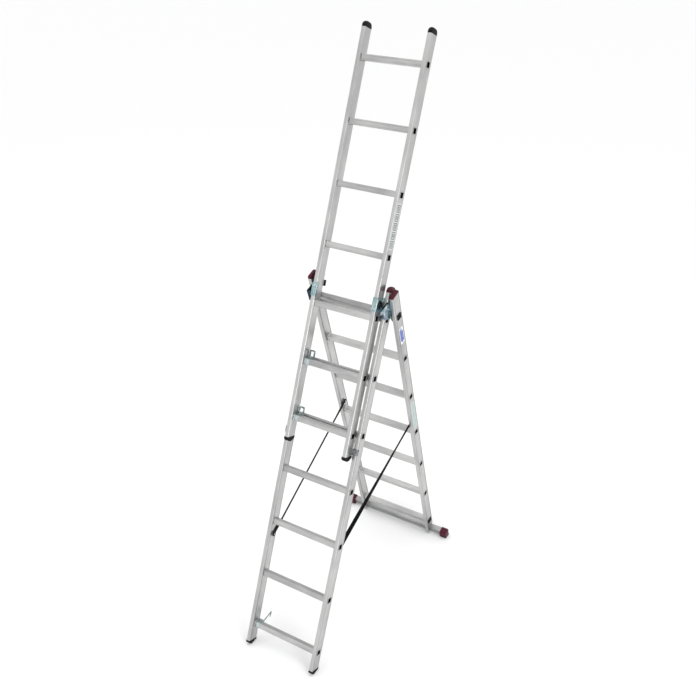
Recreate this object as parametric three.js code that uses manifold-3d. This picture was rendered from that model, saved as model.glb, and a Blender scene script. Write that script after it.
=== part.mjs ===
// Three-section aluminium combination ladder, standing as a step ladder with its top section run out
// above the hinge. Millimetres, +Z up, the front of the ladder towards -Y, the floor at z = 0.
//
// Each section is drawn in its own frame: the origin at the middle of its lowest rung, +X across the
// ladder, +Z up along its stiles and -Y out of its front. Two groups then lean the sections against
// each other about the hinge line.
import * as THREE from "three";
import { mergeVertices } from "three/addons/utils/BufferGeometryUtils.js";
import Module from "manifold-3d";

const wasm = await Module();
wasm.setup();

// ---- Driving sizes -------------------------------------------------------------------------------

const RUNG_COUNT = 7;
const RUNG_PITCH = 280;
const RUNG_DEPTH = 30; // front to back
const RUNG_HEIGHT = 28;
const RUNG_CORNER = 5;
const RUNG_WALL = 1.6;

const STILE_WIDTH = 20; // across the ladder
const STILE_DEPTH = 62; // front to back
const STILE_CORNER = 4;
const STILE_WALL = 1.6;
const STILE_ABOVE_TOP_RUNG = 127;
const STILE_BELOW_LOWEST_RUNG = 95;
const TOP_STILE_BELOW_LOWEST_RUNG = 104;

const TOP_HALF_WIDTH = 170; // to the outside of the top section's stiles
const SECTION_GAP = 8; // sideways, between the stiles of one section and the next
const NESTING_GAP = 6; // front to back, between a section's rungs and the stiles nested before them
const RUNGS_RUN_OUT = 4; // how far the top section stands above the middle one

const OPENING_ANGLE = 39.6; // degrees between the two legs, which the straps set
const HINGE_ABOVE_TOP_RUNG = 24;

const TOP_CAP_HEIGHT = 27;
const MIDDLE_CAP_HEIGHT = 26;
const BASE_CAP_HEIGHT = 15;
const CAP_PROUD = 0.6; // how far caps and feet stand out past the stile's faces
const CAP_SHOULDER = 0.25; // the share of a cap's height below its dome, seen from the side
const CAP_EDGE = 0.5; // and the share below its rounded edges, seen from the front
const SPIGOT_LENGTH = 24;
const SPIGOT_FIT = 0.4;
const FOOT_HEIGHT = 20;
const FOOT_EDGE_HEIGHT = 6;
const SOLE_BELOW_STILE = 18; // where the level sole crosses the stile's middle plane

const TRAVERSE_DEPTH = 30; // front to back
const TRAVERSE_HEIGHT = 35;
const TRAVERSE_WALL = 2.2;
const TRAVERSE_BORE_CORNER = 1;
const TRAVERSE_HALF_LENGTH = 292;
const TRAVERSE_TOP = -65; // below the lowest rung's middle
const TRAVERSE_FRONT = -10; // y of its front face
const GROOVE_WIDTH = 2.4;
const GROOVE_DEPTH = 0.9;
const GROOVES_PER_FACE = 3;
const END_CAP_LENGTH = 41;
const END_CAP_PROUD = 4;
const END_CAP_FRONT_PROUD = 9;
const END_CAP_CORNER = 6;

const PLATE = 2.5; // sheet steel of the guides and the hinge shoes
const HINGE_PLATE = 3;
const HINGE_PLATE_INSET = { back: 8, top: 6, bottom: 10 }; // from the stile's edges
const HINGE_PIN_RADIUS = 5;
const HINGE_COLLAR_RADIUS = 8;
const HINGE_LOBE_RADIUS = 18;
const HINGE_PEAK = 29; // how far above the hinge line the plate starts to lean back
const HINGE_PLATE_BELOW = 54; // the base plate's reach below and above the hinge line
const HINGE_PLATE_ABOVE = 78;
const HINGE_SHOE_BELOW = 21;
const HINGE_SHOE_HEIGHT = 50;
const HINGE_SHOE_TO_RUNG = 0.9; // between the shoe's round lobe and the base section's top rung
const HINGE_SHOE_INSET = { top: 12, bottom: 6 }; // of the shoe's edges before the hinge line
const CLASP_ABOVE_TOP_RUNG = 35;
const CLASP_HEIGHT = 63;
const CLASP_LIP = 14;
const CLASP_BEND = 4;
const CLASP_BACK = 10; // before the back face of the middle stile
const CLASP_JOG = [4, 14]; // where the clasp steps outwards, from behind that stile's front to before it
const CLASP_WINDOW = [22, 40]; // front to back, and up the stile
const CLASP_WINDOW_START = 16; // before the front of the middle stile
const SLIDE_SHOE_HEIGHT = 30;
const SLIDE_SHOE_ABOVE_END = 12;
const SLIDE_SHOE_LIP = 13;
const SLIDE_SHOE_TAIL = 4;
const SLIDE_SHOE_BEND = 2.6;
const RUNNING_FIT = 0.6; // between a guide and the stile that runs in it

const STRAP_WIDTH = 22;
const STRAP_THICKNESS = 1.6;
const STRAP_ABOVE_LOWEST_RUNG = { base: 905, middle: 490 };
const ANCHOR_FLANGE_RADIUS = 10;
const ANCHOR_FLANGE = 1.8;
const ANCHOR_HEAD_RADIUS = 6;
const ANCHOR_HEAD = 6;

const SADDLE_WIDTH = 24;
const SADDLE_SHEET = 1.8;
const SADDLE_FROM_STILE = 6;
const LUG_ROOT = 4; // how far the pin's lug reaches in over the rung
const LATCH_PIN_RADIUS = 2.2;
const LATCH_PIN_BEHIND_RUNG = 5.2;
const LATCH_PIN_ABOVE_RUNG = 2.2;
const LATCH_SHEET = 2.4;
const LATCH_LEG = 7;
const LATCH_BAR_RADIUS = 3.1;
const LATCH_LENGTH = 34;
const TRANSPORT_HOOK_REACH = 58;
const TRANSPORT_HOOK_RISE = 30;
const TRANSPORT_HOOK_LIP = 27;
const TRANSPORT_HOOK_LIP_LEAN = 3;
const TRANSPORT_HOOK_BEND = 4;
const TRANSPORT_HOOK_EYE_RADIUS = 5;

const FIT = 0.3; // gap between pieces that touch
const CLEARANCE = 1; // overrun of a cutting tool past the face that it cuts
const SINK = 1; // how far one shape sinks into another that it is joined with
const CORNER_STEPS = 1; // facets of a small corner, a bend, and an arc that shows
const BEND_STEPS = 4;
const ARC_STEPS = 6;
const FLANGE_SIDES = 16;

// ---- Sizes that follow ---------------------------------------------------------------------------

const RADIANS = Math.PI / 180;
const HALF_WIDTH = {
  top: TOP_HALF_WIDTH,
  middle: TOP_HALF_WIDTH + STILE_WIDTH + SECTION_GAP,
  base: TOP_HALF_WIDTH + 2 * (STILE_WIDTH + SECTION_GAP),
};
const BELOW_LOWEST_RUNG = {
  top: TOP_STILE_BELOW_LOWEST_RUNG,
  middle: STILE_BELOW_LOWEST_RUNG,
  base: STILE_BELOW_LOWEST_RUNG,
};
const PLANE_STEP = STILE_DEPTH / 2 + RUNG_DEPTH / 2 + NESTING_GAP; // between middle planes
const TOP_RUNG_Z = (RUNG_COUNT - 1) * RUNG_PITCH;
const STILE_TOP = TOP_RUNG_Z + STILE_ABOVE_TOP_RUNG;
const FRONT = -STILE_DEPTH / 2; // y of a stile's front face
const HINGE_Z = TOP_RUNG_Z + HINGE_ABOVE_TOP_RUNG;
const HINGE_Y = PLANE_STEP / 2; // behind the middle section and as far before the base section
const HINGE_TO_RUNG = Math.hypot(
  HINGE_Y - RUNG_DEPTH / 2 + RUNG_CORNER,
  HINGE_ABOVE_TOP_RUNG - RUNG_HEIGHT / 2 + RUNG_CORNER,
) - RUNG_CORNER;
const SOLE_Z = -STILE_BELOW_LOWEST_RUNG - SOLE_BELOW_STILE;

// The lean of each leg that puts both soles on one floor: two points, each fixed in its own leg, are
// level when the hinge is turned by this much of the opening angle.
const opening = OPENING_ANGLE * RADIANS;
const reach = HINGE_Z - SOLE_Z;
const legLength = Math.hypot(reach, HINGE_Y);
const legAngle = opening + Math.atan2(HINGE_Y, reach);
const rise = reach - legLength * Math.cos(legAngle);
const spread = HINGE_Y + legLength * Math.sin(legAngle);
const middleLean = Math.atan2(rise, spread);
const baseLean = opening - middleLean;

// ---- Materials -----------------------------------------------------------------------------------

function material(color, metalness, roughness) {
  return new THREE.MeshStandardMaterial({ color, metalness, roughness });
}
const aluminium = material(0xc9cacb, 0.9, 0.42);
const zinc = material(0x9fb4b8, 0.9, 0.35);
const blackPlastic = material(0x18181a, 0, 0.55);
const rubber = material(0x141415, 0, 0.8);
const maroonPlastic = material(0x5e1f38, 0, 0.45);
const webbing = material(0x0f0f10, 0, 0.9);

// ---- Solids --------------------------------------------------------------------------------------

function toSolid(geometry) {
  const bare = geometry.index ? geometry.toNonIndexed() : geometry.clone();
  bare.deleteAttribute("normal");
  bare.deleteAttribute("uv");
  const merged = mergeVertices(bare, 1e-4);
  return new wasm.Manifold(
    new wasm.Mesh({
      numProp: 3,
      vertProperties: merged.attributes.position.array,
      triVerts: new Uint32Array(merged.index.array),
    }),
  );
}

function toGeometry(solid) {
  const mesh = solid.getMesh();
  const geometry = new THREE.BufferGeometry();
  geometry.setAttribute("position", new THREE.BufferAttribute(mesh.vertProperties, 3));
  geometry.setIndex(new THREE.BufferAttribute(mesh.triVerts, 1));
  const flat = geometry.toNonIndexed();
  flat.computeVertexNormals();
  return flat;
}

function join(...geometries) {
  return toGeometry(geometries.map(toSolid).reduce((a, b) => a.add(b)));
}

function cut(geometry, ...tools) {
  return toGeometry(tools.map(toSolid).reduce((a, b) => a.subtract(b), toSolid(geometry)));
}

function common(a, b) {
  return toGeometry(toSolid(a).intersect(toSolid(b)));
}

// ---- Outlines and extrusions ---------------------------------------------------------------------

// A rounded rectangle about (0, 0), as a Shape or, for a hole, a Path.
function roundedRectangle(width, height, radius, Kind = THREE.Shape) {
  const x = width / 2 - radius;
  const y = height / 2 - radius;
  const outline = new Kind();
  outline.absarc(x, y, radius, 0, Math.PI / 2);
  outline.absarc(-x, y, radius, Math.PI / 2, Math.PI);
  outline.absarc(-x, -y, radius, Math.PI, 1.5 * Math.PI);
  outline.absarc(x, -y, radius, 1.5 * Math.PI, 2 * Math.PI);
  outline.closePath();
  return outline;
}

function alongZ(shape, from, to, curveSegments = BEND_STEPS) {
  const made = new THREE.ExtrudeGeometry(shape, { depth: to - from, bevelEnabled: false, curveSegments });
  return made.translate(0, 0, from);
}

// The shape's first axis becomes Y and its second Z.
const ONTO_X = new THREE.Matrix4().makeBasis(
  new THREE.Vector3(0, 1, 0),
  new THREE.Vector3(0, 0, 1),
  new THREE.Vector3(1, 0, 0),
);
function alongX(shape, from, to, curveSegments = BEND_STEPS) {
  const made = new THREE.ExtrudeGeometry(shape, { depth: to - from, bevelEnabled: false, curveSegments });
  return made.applyMatrix4(ONTO_X).translate(from, 0, 0);
}

// The shape's first axis becomes X and its second Z.
function alongY(shape, from, to, curveSegments = BEND_STEPS) {
  const made = new THREE.ExtrudeGeometry(shape, { depth: to - from, bevelEnabled: false, curveSegments });
  return made.rotateX(Math.PI / 2).translate(0, to, 0);
}

function box(x0, x1, y0, y1, z0, z1) {
  const made = new THREE.BoxGeometry(x1 - x0, y1 - y0, z1 - z0);
  return made.translate((x0 + x1) / 2, (y0 + y1) / 2, (z0 + z1) / 2);
}

function pinAlongX(radius, from, to, y, z, sides = 12) {
  const made = new THREE.CylinderGeometry(radius, radius, to - from, sides);
  return made.rotateZ(Math.PI / 2).translate((from + to) / 2, y, z);
}

// A strip of even thickness that follows a bent centre line, with rounded bends.
function bentStrip(corners, thickness, bend) {
  const points = corners.map(([x, y]) => new THREE.Vector2(x, y));
  const path = new THREE.Path();
  path.moveTo(points[0].x, points[0].y);
  for (let i = 1; i < points.length - 1; i++) {
    const before = points[i - 1].clone().sub(points[i]).setLength(bend).add(points[i]);
    const after = points[i + 1].clone().sub(points[i]).setLength(bend).add(points[i]);
    path.lineTo(before.x, before.y);
    path.quadraticCurveTo(points[i].x, points[i].y, after.x, after.y);
  }
  path.lineTo(points.at(-1).x, points.at(-1).y);
  const line = path.getPoints(BEND_STEPS);
  const side = (sign) =>
    line.map((point, i) => {
      const along = line[Math.min(i + 1, line.length - 1)].clone().sub(line[Math.max(i - 1, 0)]).normalize();
      return new THREE.Vector2(-along.y, along.x).multiplyScalar((sign * thickness) / 2).add(point);
    });
  return new THREE.Shape([...side(1), ...side(-1).reverse()]);
}

// ---- Pieces that every section has ---------------------------------------------------------------

function named(name, geometry, finish, mirrored = false) {
  const mesh = new THREE.Mesh(geometry, finish);
  mesh.name = name;
  if (mirrored) mesh.scale.x = -1;
  return mesh;
}

// Both copies of a piece that is drawn on the right, at +X.
function pair(name, geometry, finish) {
  return [named(name + "_right", geometry, finish), named(name + "_left", geometry, finish, true)];
}

// The hole that a rung passes through, from one side of a wall to the other.
function rungBore(from, to) {
  const bore = roundedRectangle(RUNG_DEPTH + 2 * FIT, RUNG_HEIGHT + 2 * FIT, RUNG_CORNER + FIT);
  return alongX(bore, from - CLEARANCE, to + CLEARANCE, CORNER_STEPS);
}

// A hollow stile from one end to the other, with a hole for each rung through both of its walls.
function stileGeometry(halfWidth, bottom) {
  const outline = roundedRectangle(STILE_WIDTH, STILE_DEPTH, STILE_CORNER);
  outline.holes.push(
    roundedRectangle(
      STILE_WIDTH - 2 * STILE_WALL,
      STILE_DEPTH - 2 * STILE_WALL,
      STILE_CORNER - STILE_WALL,
      THREE.Path,
    ),
  );
  const middle = halfWidth - STILE_WIDTH / 2;
  const tube = alongZ(outline, bottom, STILE_TOP, CORNER_STEPS).translate(middle, 0, 0);
  const holes = [];
  for (let i = 0; i < RUNG_COUNT; i++)
    holes.push(rungBore(halfWidth - STILE_WIDTH, halfWidth).translate(0, 0, i * RUNG_PITCH));
  return cut(tube, ...holes);
}

// A hollow rung whose ends lie level with the outside of the stiles.
function rungGeometry(halfWidth) {
  const outline = roundedRectangle(RUNG_DEPTH, RUNG_HEIGHT, RUNG_CORNER);
  outline.holes.push(
    roundedRectangle(
      RUNG_DEPTH - 2 * RUNG_WALL,
      RUNG_HEIGHT - 2 * RUNG_WALL,
      RUNG_CORNER - RUNG_WALL,
      THREE.Path,
    ),
  );
  return alongX(outline, -halfWidth + FIT, halfWidth - FIT, CORNER_STEPS);
}

// The part of a cap or foot that sits inside the stile.
function spigot(halfWidth, from, to) {
  const inset = 2 * (STILE_WALL + SPIGOT_FIT);
  const outline = roundedRectangle(STILE_WIDTH - inset, STILE_DEPTH - inset, STILE_CORNER - STILE_WALL);
  return alongZ(outline, from, to, CORNER_STEPS).translate(halfWidth - STILE_WIDTH / 2, 0, 0);
}

// A domed cap on the top end of a stile: half an ellipse from front to back, rounded across as well.
function capGeometry(halfWidth, height) {
  const from = STILE_TOP + FIT;
  const halfDepth = STILE_DEPTH / 2 + CAP_PROUD;
  const halfThick = STILE_WIDTH / 2 + CAP_PROUD;
  const arch = (half, straight) => {
    const outline = new THREE.Shape();
    outline.moveTo(-half, 0);
    outline.lineTo(half, 0);
    outline.lineTo(half, height * straight);
    outline.absellipse(0, height * straight, half, height * (1 - straight), 0, Math.PI);
    return outline;
  };
  const dome = common(
    alongX(arch(halfDepth, CAP_SHOULDER), -halfThick, halfThick, ARC_STEPS),
    alongY(arch(halfThick, CAP_EDGE), -halfDepth, halfDepth, ARC_STEPS / 2),
  ).translate(halfWidth - STILE_WIDTH / 2, 0, from);
  return join(dome, spigot(halfWidth, from - SPIGOT_LENGTH, from + SINK));
}

// A rubber foot: an arc from front to back under the stile's lower end.
function footGeometry(halfWidth, bottom) {
  const halfDepth = STILE_DEPTH / 2 + CAP_PROUD;
  const sag = FOOT_HEIGHT - FOOT_EDGE_HEIGHT;
  const radius = (halfDepth * halfDepth + sag * sag) / (2 * sag);
  const half = Math.asin(halfDepth / radius);
  const top = bottom - FIT;
  const profile = new THREE.Shape();
  profile.moveTo(halfDepth, top);
  profile.lineTo(-halfDepth, top);
  profile.lineTo(-halfDepth, top - FOOT_EDGE_HEIGHT);
  profile.absarc(0, top - FOOT_HEIGHT + radius, radius, 1.5 * Math.PI - half, 1.5 * Math.PI + half);
  const side = halfWidth - STILE_WIDTH / 2;
  const halfThick = STILE_WIDTH / 2 + CAP_PROUD;
  return join(
    alongX(profile, side - halfThick, side + halfThick, ARC_STEPS),
    spigot(halfWidth, top - SINK, top + SPIGOT_LENGTH),
  );
}

// Everything below a level floor that passes through (y, z) of a section which leans by an angle.
function belowFloor(lean, y, z) {
  const size = 1000;
  const made = box(-size, size, -size, size, -size, 0);
  return made.rotateX(lean).translate(0, y, z);
}

// The stiles, rungs and caps of one section.
function section(name, capHeight, capFinish) {
  const halfWidth = HALF_WIDTH[name];
  const group = new THREE.Group();
  let stile = stileGeometry(halfWidth, -BELOW_LOWEST_RUNG[name]);
  if (name === "base") stile = cut(stile, traverseNotch());
  group.add(...pair(name + "_stile", stile, aluminium));
  for (let i = 0; i < RUNG_COUNT; i++) {
    const rung = named(name + "_rung_" + (i + 1), rungGeometry(halfWidth), aluminium);
    rung.position.z = i * RUNG_PITCH;
    group.add(rung);
  }
  group.add(...pair(name + "_cap", capGeometry(halfWidth, capHeight), capFinish));
  return group;
}

// ---- Stabiliser bar under the base section -------------------------------------------------------

const TRAVERSE_MIDDLE = [TRAVERSE_FRONT + TRAVERSE_DEPTH / 2, TRAVERSE_TOP - TRAVERSE_HEIGHT / 2];

// A rectangle that is smaller than the bar all round, about the bar's own middle.
function insideBar(inset, Kind) {
  const width = TRAVERSE_DEPTH - 2 * inset;
  const height = TRAVERSE_HEIGHT - 2 * inset;
  return roundedRectangle(width, height, TRAVERSE_BORE_CORNER, Kind);
}

// The bar's outline about its own middle, with shallow grooves along its front and top faces.
function traverseOutline() {
  const halfDepth = TRAVERSE_DEPTH / 2;
  const halfHeight = TRAVERSE_HEIGHT / 2;
  const points = [
    [halfDepth, -halfHeight],
    [halfDepth, halfHeight],
  ];
  const groove = (at, side, corner) => {
    points.push(corner(at + side, 0), corner(at + side, GROOVE_DEPTH));
    points.push(corner(at - side, GROOVE_DEPTH), corner(at - side, 0));
  };
  for (let i = GROOVES_PER_FACE; i >= 1; i--)
    groove(
      -halfDepth + (i * TRAVERSE_DEPTH) / (GROOVES_PER_FACE + 1),
      GROOVE_WIDTH / 2,
      (along, deep) => [along, halfHeight - deep],
    );
  points.push([-halfDepth, halfHeight]);
  for (let i = GROOVES_PER_FACE; i >= 1; i--)
    groove(
      -halfHeight + (i * TRAVERSE_HEIGHT) / (GROOVES_PER_FACE + 1),
      GROOVE_WIDTH / 2,
      (along, deep) => [-halfDepth + deep, along],
    );
  points.push([-halfDepth, -halfHeight]);
  return new THREE.Shape(points.map(([y, z]) => new THREE.Vector2(y, z)));
}

function traverse() {
  const outline = traverseOutline();
  outline.holes.push(insideBar(TRAVERSE_WALL, THREE.Path));
  const bar = alongX(outline, -TRAVERSE_HALF_LENGTH, TRAVERSE_HALF_LENGTH, CORNER_STEPS);
  return named("traverse", bar.translate(0, ...TRAVERSE_MIDDLE), aluminium);
}

// What the bar takes out of the lower end of each base stile: all but a tongue before it.
function traverseNotch() {
  return box(
    HALF_WIDTH.base - STILE_WIDTH - CLEARANCE,
    HALF_WIDTH.base + CLEARANCE,
    TRAVERSE_FRONT - FIT,
    STILE_DEPTH,
    -STILE_BELOW_LOWEST_RUNG - CLEARANCE,
    TRAVERSE_TOP + FIT,
  );
}

// A plastic end piece that plugs into the bar and stands on the floor with a level sole.
function endCaps() {
  const top = TRAVERSE_TOP + END_CAP_PROUD;
  const front = TRAVERSE_FRONT - END_CAP_FRONT_PROUD;
  const back = TRAVERSE_FRONT + TRAVERSE_DEPTH + END_CAP_PROUD;
  const low = SOLE_Z - STILE_DEPTH / 2;
  const outline = roundedRectangle(back - front, top - low, END_CAP_CORNER);
  const from = TRAVERSE_HALF_LENGTH + FIT;
  const middle = [(front + back) / 2, (top + low) / 2];
  const block = alongX(outline, from, from + END_CAP_LENGTH).translate(0, ...middle);
  const plug = alongX(
    insideBar(TRAVERSE_WALL + SPIGOT_FIT, THREE.Shape),
    from - SPIGOT_LENGTH,
    from + SINK,
    CORNER_STEPS,
  ).translate(0, ...TRAVERSE_MIDDLE);
  const whole = cut(join(block, plug), belowFloor(-baseLean, 0, SOLE_Z));
  return pair("traverse_end_cap", whole, maroonPlastic);
}

// ---- Hinge between the base and middle sections --------------------------------------------------

// The base section's plate: flat on the inside of its stile, with a lobe that carries the hinge pin.
function hingePlates() {
  const inner = HALF_WIDTH.base - STILE_WIDTH - FIT;
  const shoe = HALF_WIDTH.middle + FIT + PLATE;
  const back = STILE_DEPTH / 2 - HINGE_PLATE_INSET.back;
  const outline = new THREE.Shape();
  outline.moveTo(back, HINGE_Z - HINGE_PLATE_BELOW);
  outline.lineTo(back, HINGE_Z + HINGE_PLATE_ABOVE);
  outline.lineTo(FRONT + HINGE_PLATE_INSET.top, HINGE_Z + HINGE_PLATE_ABOVE);
  outline.lineTo(-HINGE_Y - HINGE_LOBE_RADIUS, HINGE_Z + HINGE_PEAK);
  outline.absarc(-HINGE_Y, HINGE_Z, HINGE_LOBE_RADIUS, Math.PI, 1.25 * Math.PI);
  outline.lineTo(FRONT + HINGE_PLATE_INSET.bottom, HINGE_Z - HINGE_PLATE_BELOW);
  const plate = alongX(outline, inner - HINGE_PLATE, inner, ARC_STEPS);
  const punched = cut(plate, rungBore(inner - HINGE_PLATE, inner).translate(0, 0, TOP_RUNG_Z));
  const collar = pinAlongX(HINGE_COLLAR_RADIUS, shoe + FIT, inner, -HINGE_Y, HINGE_Z);
  const pin = pinAlongX(HINGE_PIN_RADIUS, HALF_WIDTH.middle + FIT, inner, -HINGE_Y, HINGE_Z);
  return pair("hinge_plate", join(punched, collar, pin), zinc);
}

// The middle section's shoe: a bent plate over the outside and the front of its stile.
function hingeShoes() {
  const wall = HALF_WIDTH.middle + FIT + PLATE / 2;
  const front = FRONT - FIT - PLATE / 2;
  const low = HINGE_Z - HINGE_SHOE_BELOW;
  const high = low + HINGE_SHOE_HEIGHT;
  const strip = bentStrip(
    [
      [wall, HINGE_Y + HINGE_LOBE_RADIUS],
      [wall, front],
      [HALF_WIDTH.middle - STILE_WIDTH + FIT, front],
    ],
    PLATE,
    STILE_CORNER,
  );
  const bent = alongZ(strip, low, high);
  const outline = new THREE.Shape();
  outline.moveTo(front - PLATE, low - CLEARANCE);
  outline.lineTo(HINGE_Y - HINGE_SHOE_INSET.bottom, low - CLEARANCE);
  outline.absarc(HINGE_Y, HINGE_Z, HINGE_TO_RUNG - HINGE_SHOE_TO_RUNG, -Math.PI / 2, Math.PI / 2);
  outline.lineTo(HINGE_Y - HINGE_SHOE_INSET.top, high + CLEARANCE);
  outline.lineTo(front - PLATE, high + CLEARANCE);
  const trimmed = common(bent, alongX(outline, wall - 2 * STILE_WIDTH, wall + PLATE, ARC_STEPS));
  const hole = pinAlongX(HINGE_PIN_RADIUS + FIT, wall - PLATE, wall + PLATE, HINGE_Y, HINGE_Z);
  return pair("hinge_shoe", cut(trimmed, hole), zinc);
}

// ---- Guides between the middle and top sections --------------------------------------------------

// A clasp on the inside of the middle stile that reaches forward and closes round the top stile.
function guideClasps() {
  const stile = HALF_WIDTH.middle - STILE_WIDTH;
  const outside = HALF_WIDTH.top + RUNNING_FIT + PLATE / 2;
  const inside = HALF_WIDTH.top - STILE_WIDTH - RUNNING_FIT - PLATE / 2;
  const front = FRONT - PLANE_STEP - RUNNING_FIT - PLATE / 2;
  const root = stile - FIT - PLATE / 2;
  const low = TOP_RUNG_Z + CLASP_ABOVE_TOP_RUNG;
  const strip = bentStrip(
    [
      [root, -FRONT - CLASP_BACK],
      [root, FRONT - CLASP_JOG[0]],
      [outside, FRONT - CLASP_JOG[1]],
      [outside, front],
      [inside, front],
      [inside, front + CLASP_LIP],
    ],
    PLATE,
    CLASP_BEND,
  );
  const clasp = alongZ(strip, low, low + CLASP_HEIGHT);
  const windowMiddle = low + CLASP_HEIGHT / 2;
  const windowBack = FRONT - CLASP_WINDOW_START;
  const window = box(
    outside - PLATE,
    outside + PLATE,
    windowBack - CLASP_WINDOW[0],
    windowBack,
    windowMiddle - CLASP_WINDOW[1] / 2,
    windowMiddle + CLASP_WINDOW[1] / 2,
  );
  return pair("guide_clasp", cut(clasp, window), zinc);
}

// A shoe at the lower end of the top stile that runs round the front edge of the middle stile.
// It is drawn in the top section's frame, in which the middle section lies a plane step behind.
function slideShoes() {
  const root = HALF_WIDTH.top + FIT + PLATE / 2;
  const middleFront = FRONT + PLANE_STEP - RUNNING_FIT - PLATE / 2;
  const outside = HALF_WIDTH.middle + RUNNING_FIT + PLATE / 2;
  const low = -TOP_STILE_BELOW_LOWEST_RUNG + SLIDE_SHOE_ABOVE_END;
  const strip = bentStrip(
    [
      [root, -SLIDE_SHOE_TAIL],
      [root, middleFront],
      [outside, middleFront],
      [outside, middleFront + SLIDE_SHOE_LIP],
    ],
    PLATE,
    SLIDE_SHOE_BEND,
  );
  return pair("slide_shoe", alongZ(strip, low, low + SLIDE_SHOE_HEIGHT), zinc);
}

// ---- Spreader straps and their anchors -----------------------------------------------------------

const ANCHOR_LENGTH = ANCHOR_FLANGE + ANCHOR_HEAD;

function strapAnchors(name) {
  const face = HALF_WIDTH[name] - STILE_WIDTH - FIT;
  const z = STRAP_ABOVE_LOWEST_RUNG[name];
  const flange = pinAlongX(ANCHOR_FLANGE_RADIUS, face - ANCHOR_FLANGE, face, 0, z, FLANGE_SIDES);
  const head = pinAlongX(ANCHOR_HEAD_RADIUS, face - ANCHOR_LENGTH, face, 0, z, FLANGE_SIDES);
  return pair(name + "_strap_anchor", join(flange, head), zinc);
}

// A strap from beside one anchor to beside the other, each given in the frame of the hinge line.
function strapGeometry(from, to) {
  const along = to.clone().sub(from);
  const length = along.length() - 2 * (ANCHOR_FLANGE_RADIUS + FIT);
  const middle = from.clone().add(to).multiplyScalar(0.5);
  const across = new THREE.Vector3(1, 0, 0);
  along.normalize();
  const wide = new THREE.Vector3().crossVectors(along, across).normalize();
  const thin = new THREE.Vector3().crossVectors(wide, along).normalize();
  const strip = new THREE.BoxGeometry(STRAP_THICKNESS, STRAP_WIDTH, length);
  const turned = new THREE.Matrix4().makeBasis(thin, wide, along).setPosition(middle);
  return strip.applyMatrix4(turned);
}

// ---- Latches on the rungs ------------------------------------------------------------------------

const LATCH_PIN = [RUNG_DEPTH / 2 + LATCH_PIN_BEHIND_RUNG, RUNG_HEIGHT / 2 + LATCH_PIN_ABOVE_RUNG];

// The left end of the saddle on a section's rung.
function saddleStart(name) {
  return -HALF_WIDTH[name] + STILE_WIDTH + SADDLE_FROM_STILE;
}

// A band round the left end of a rung, with a cross pin in a lug at its upper back edge.
function saddle(name, pieceName) {
  const from = saddleStart(name);
  const to = from + SADDLE_WIDTH;
  const grow = 2 * (FIT + SADDLE_SHEET);
  const outline = roundedRectangle(RUNG_DEPTH + grow, RUNG_HEIGHT + grow, RUNG_CORNER + grow / 2);
  outline.holes.push(
    roundedRectangle(RUNG_DEPTH + 2 * FIT, RUNG_HEIGHT + 2 * FIT, RUNG_CORNER + FIT, THREE.Path),
  );
  const band = alongX(outline, from, to, CORNER_STEPS);
  const [y, z] = LATCH_PIN;
  const lug = box(
    from,
    to,
    RUNG_DEPTH / 2 - LUG_ROOT,
    y + LATCH_PIN_RADIUS,
    RUNG_HEIGHT / 2 + FIT,
    z + LATCH_PIN_RADIUS,
  );
  const pinEnd = LATCH_SHEET + 2 * FIT;
  const pin = pinAlongX(LATCH_PIN_RADIUS, from - pinEnd, to + pinEnd, y, z);
  return named(pieceName, join(cut(join(band, lug), rungBore(from, to)), pin), zinc);
}

// A bail that stands behind its rung and swings back over the rung of the next section.
function latch(name, pieceName) {
  const from = saddleStart(name);
  const to = from + SADDLE_WIDTH;
  const [y, z] = LATCH_PIN;
  const half = LATCH_LEG / 2;
  const leg = new THREE.Shape();
  leg.absarc(y, z, half, Math.PI, 2 * Math.PI);
  leg.absarc(y, z + LATCH_LENGTH, half, 0, Math.PI);
  const eye = new THREE.Path();
  eye.absarc(y, z, LATCH_PIN_RADIUS + FIT, 0, 2 * Math.PI);
  leg.holes.push(eye);
  const left = alongX(leg, from - FIT - LATCH_SHEET, from - FIT, ARC_STEPS);
  const right = alongX(leg, to + FIT, to + FIT + LATCH_SHEET, ARC_STEPS);
  const bar = pinAlongX(LATCH_BAR_RADIUS, from - FIT - SINK, to + FIT + SINK, y, z + LATCH_LENGTH);
  return named(pieceName, join(left, right, bar), zinc);
}

// A flat hook, bent like a 7, that drops over the base section's lowest rung when the legs are shut.
function transportHook() {
  const from = saddleStart("middle") + SADDLE_WIDTH + FIT;
  const [y, z] = LATCH_PIN;
  const arm = bentStrip(
    [
      [y, z],
      [y + TRANSPORT_HOOK_REACH, z + TRANSPORT_HOOK_RISE],
      [y + TRANSPORT_HOOK_REACH - TRANSPORT_HOOK_LIP_LEAN, z + TRANSPORT_HOOK_RISE - TRANSPORT_HOOK_LIP],
    ],
    LATCH_LEG,
    TRANSPORT_HOOK_BEND,
  );
  const eye = pinAlongX(TRANSPORT_HOOK_EYE_RADIUS, from, from + LATCH_SHEET, y, z);
  const bore = pinAlongX(LATCH_PIN_RADIUS + FIT, from - CLEARANCE, from + LATCH_SHEET + CLEARANCE, y, z);
  return named("transport_hook", cut(join(alongX(arm, from, from + LATCH_SHEET), eye), bore), zinc);
}

// ---- Sections ------------------------------------------------------------------------------------

const base = section("base", BASE_CAP_HEIGHT, maroonPlastic);
base.add(traverse(), ...endCaps(), ...hingePlates(), ...strapAnchors("base"));

const middle = section("middle", MIDDLE_CAP_HEIGHT, maroonPlastic);
const middleFoot = footGeometry(HALF_WIDTH.middle, -STILE_BELOW_LOWEST_RUNG);
middle.add(
  ...pair("middle_foot", cut(middleFoot, belowFloor(middleLean, 0, SOLE_Z)), rubber),
  ...hingeShoes(),
  ...guideClasps(),
  ...strapAnchors("middle"),
  saddle("middle", "transport_hook_saddle"),
  transportHook(),
);

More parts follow.
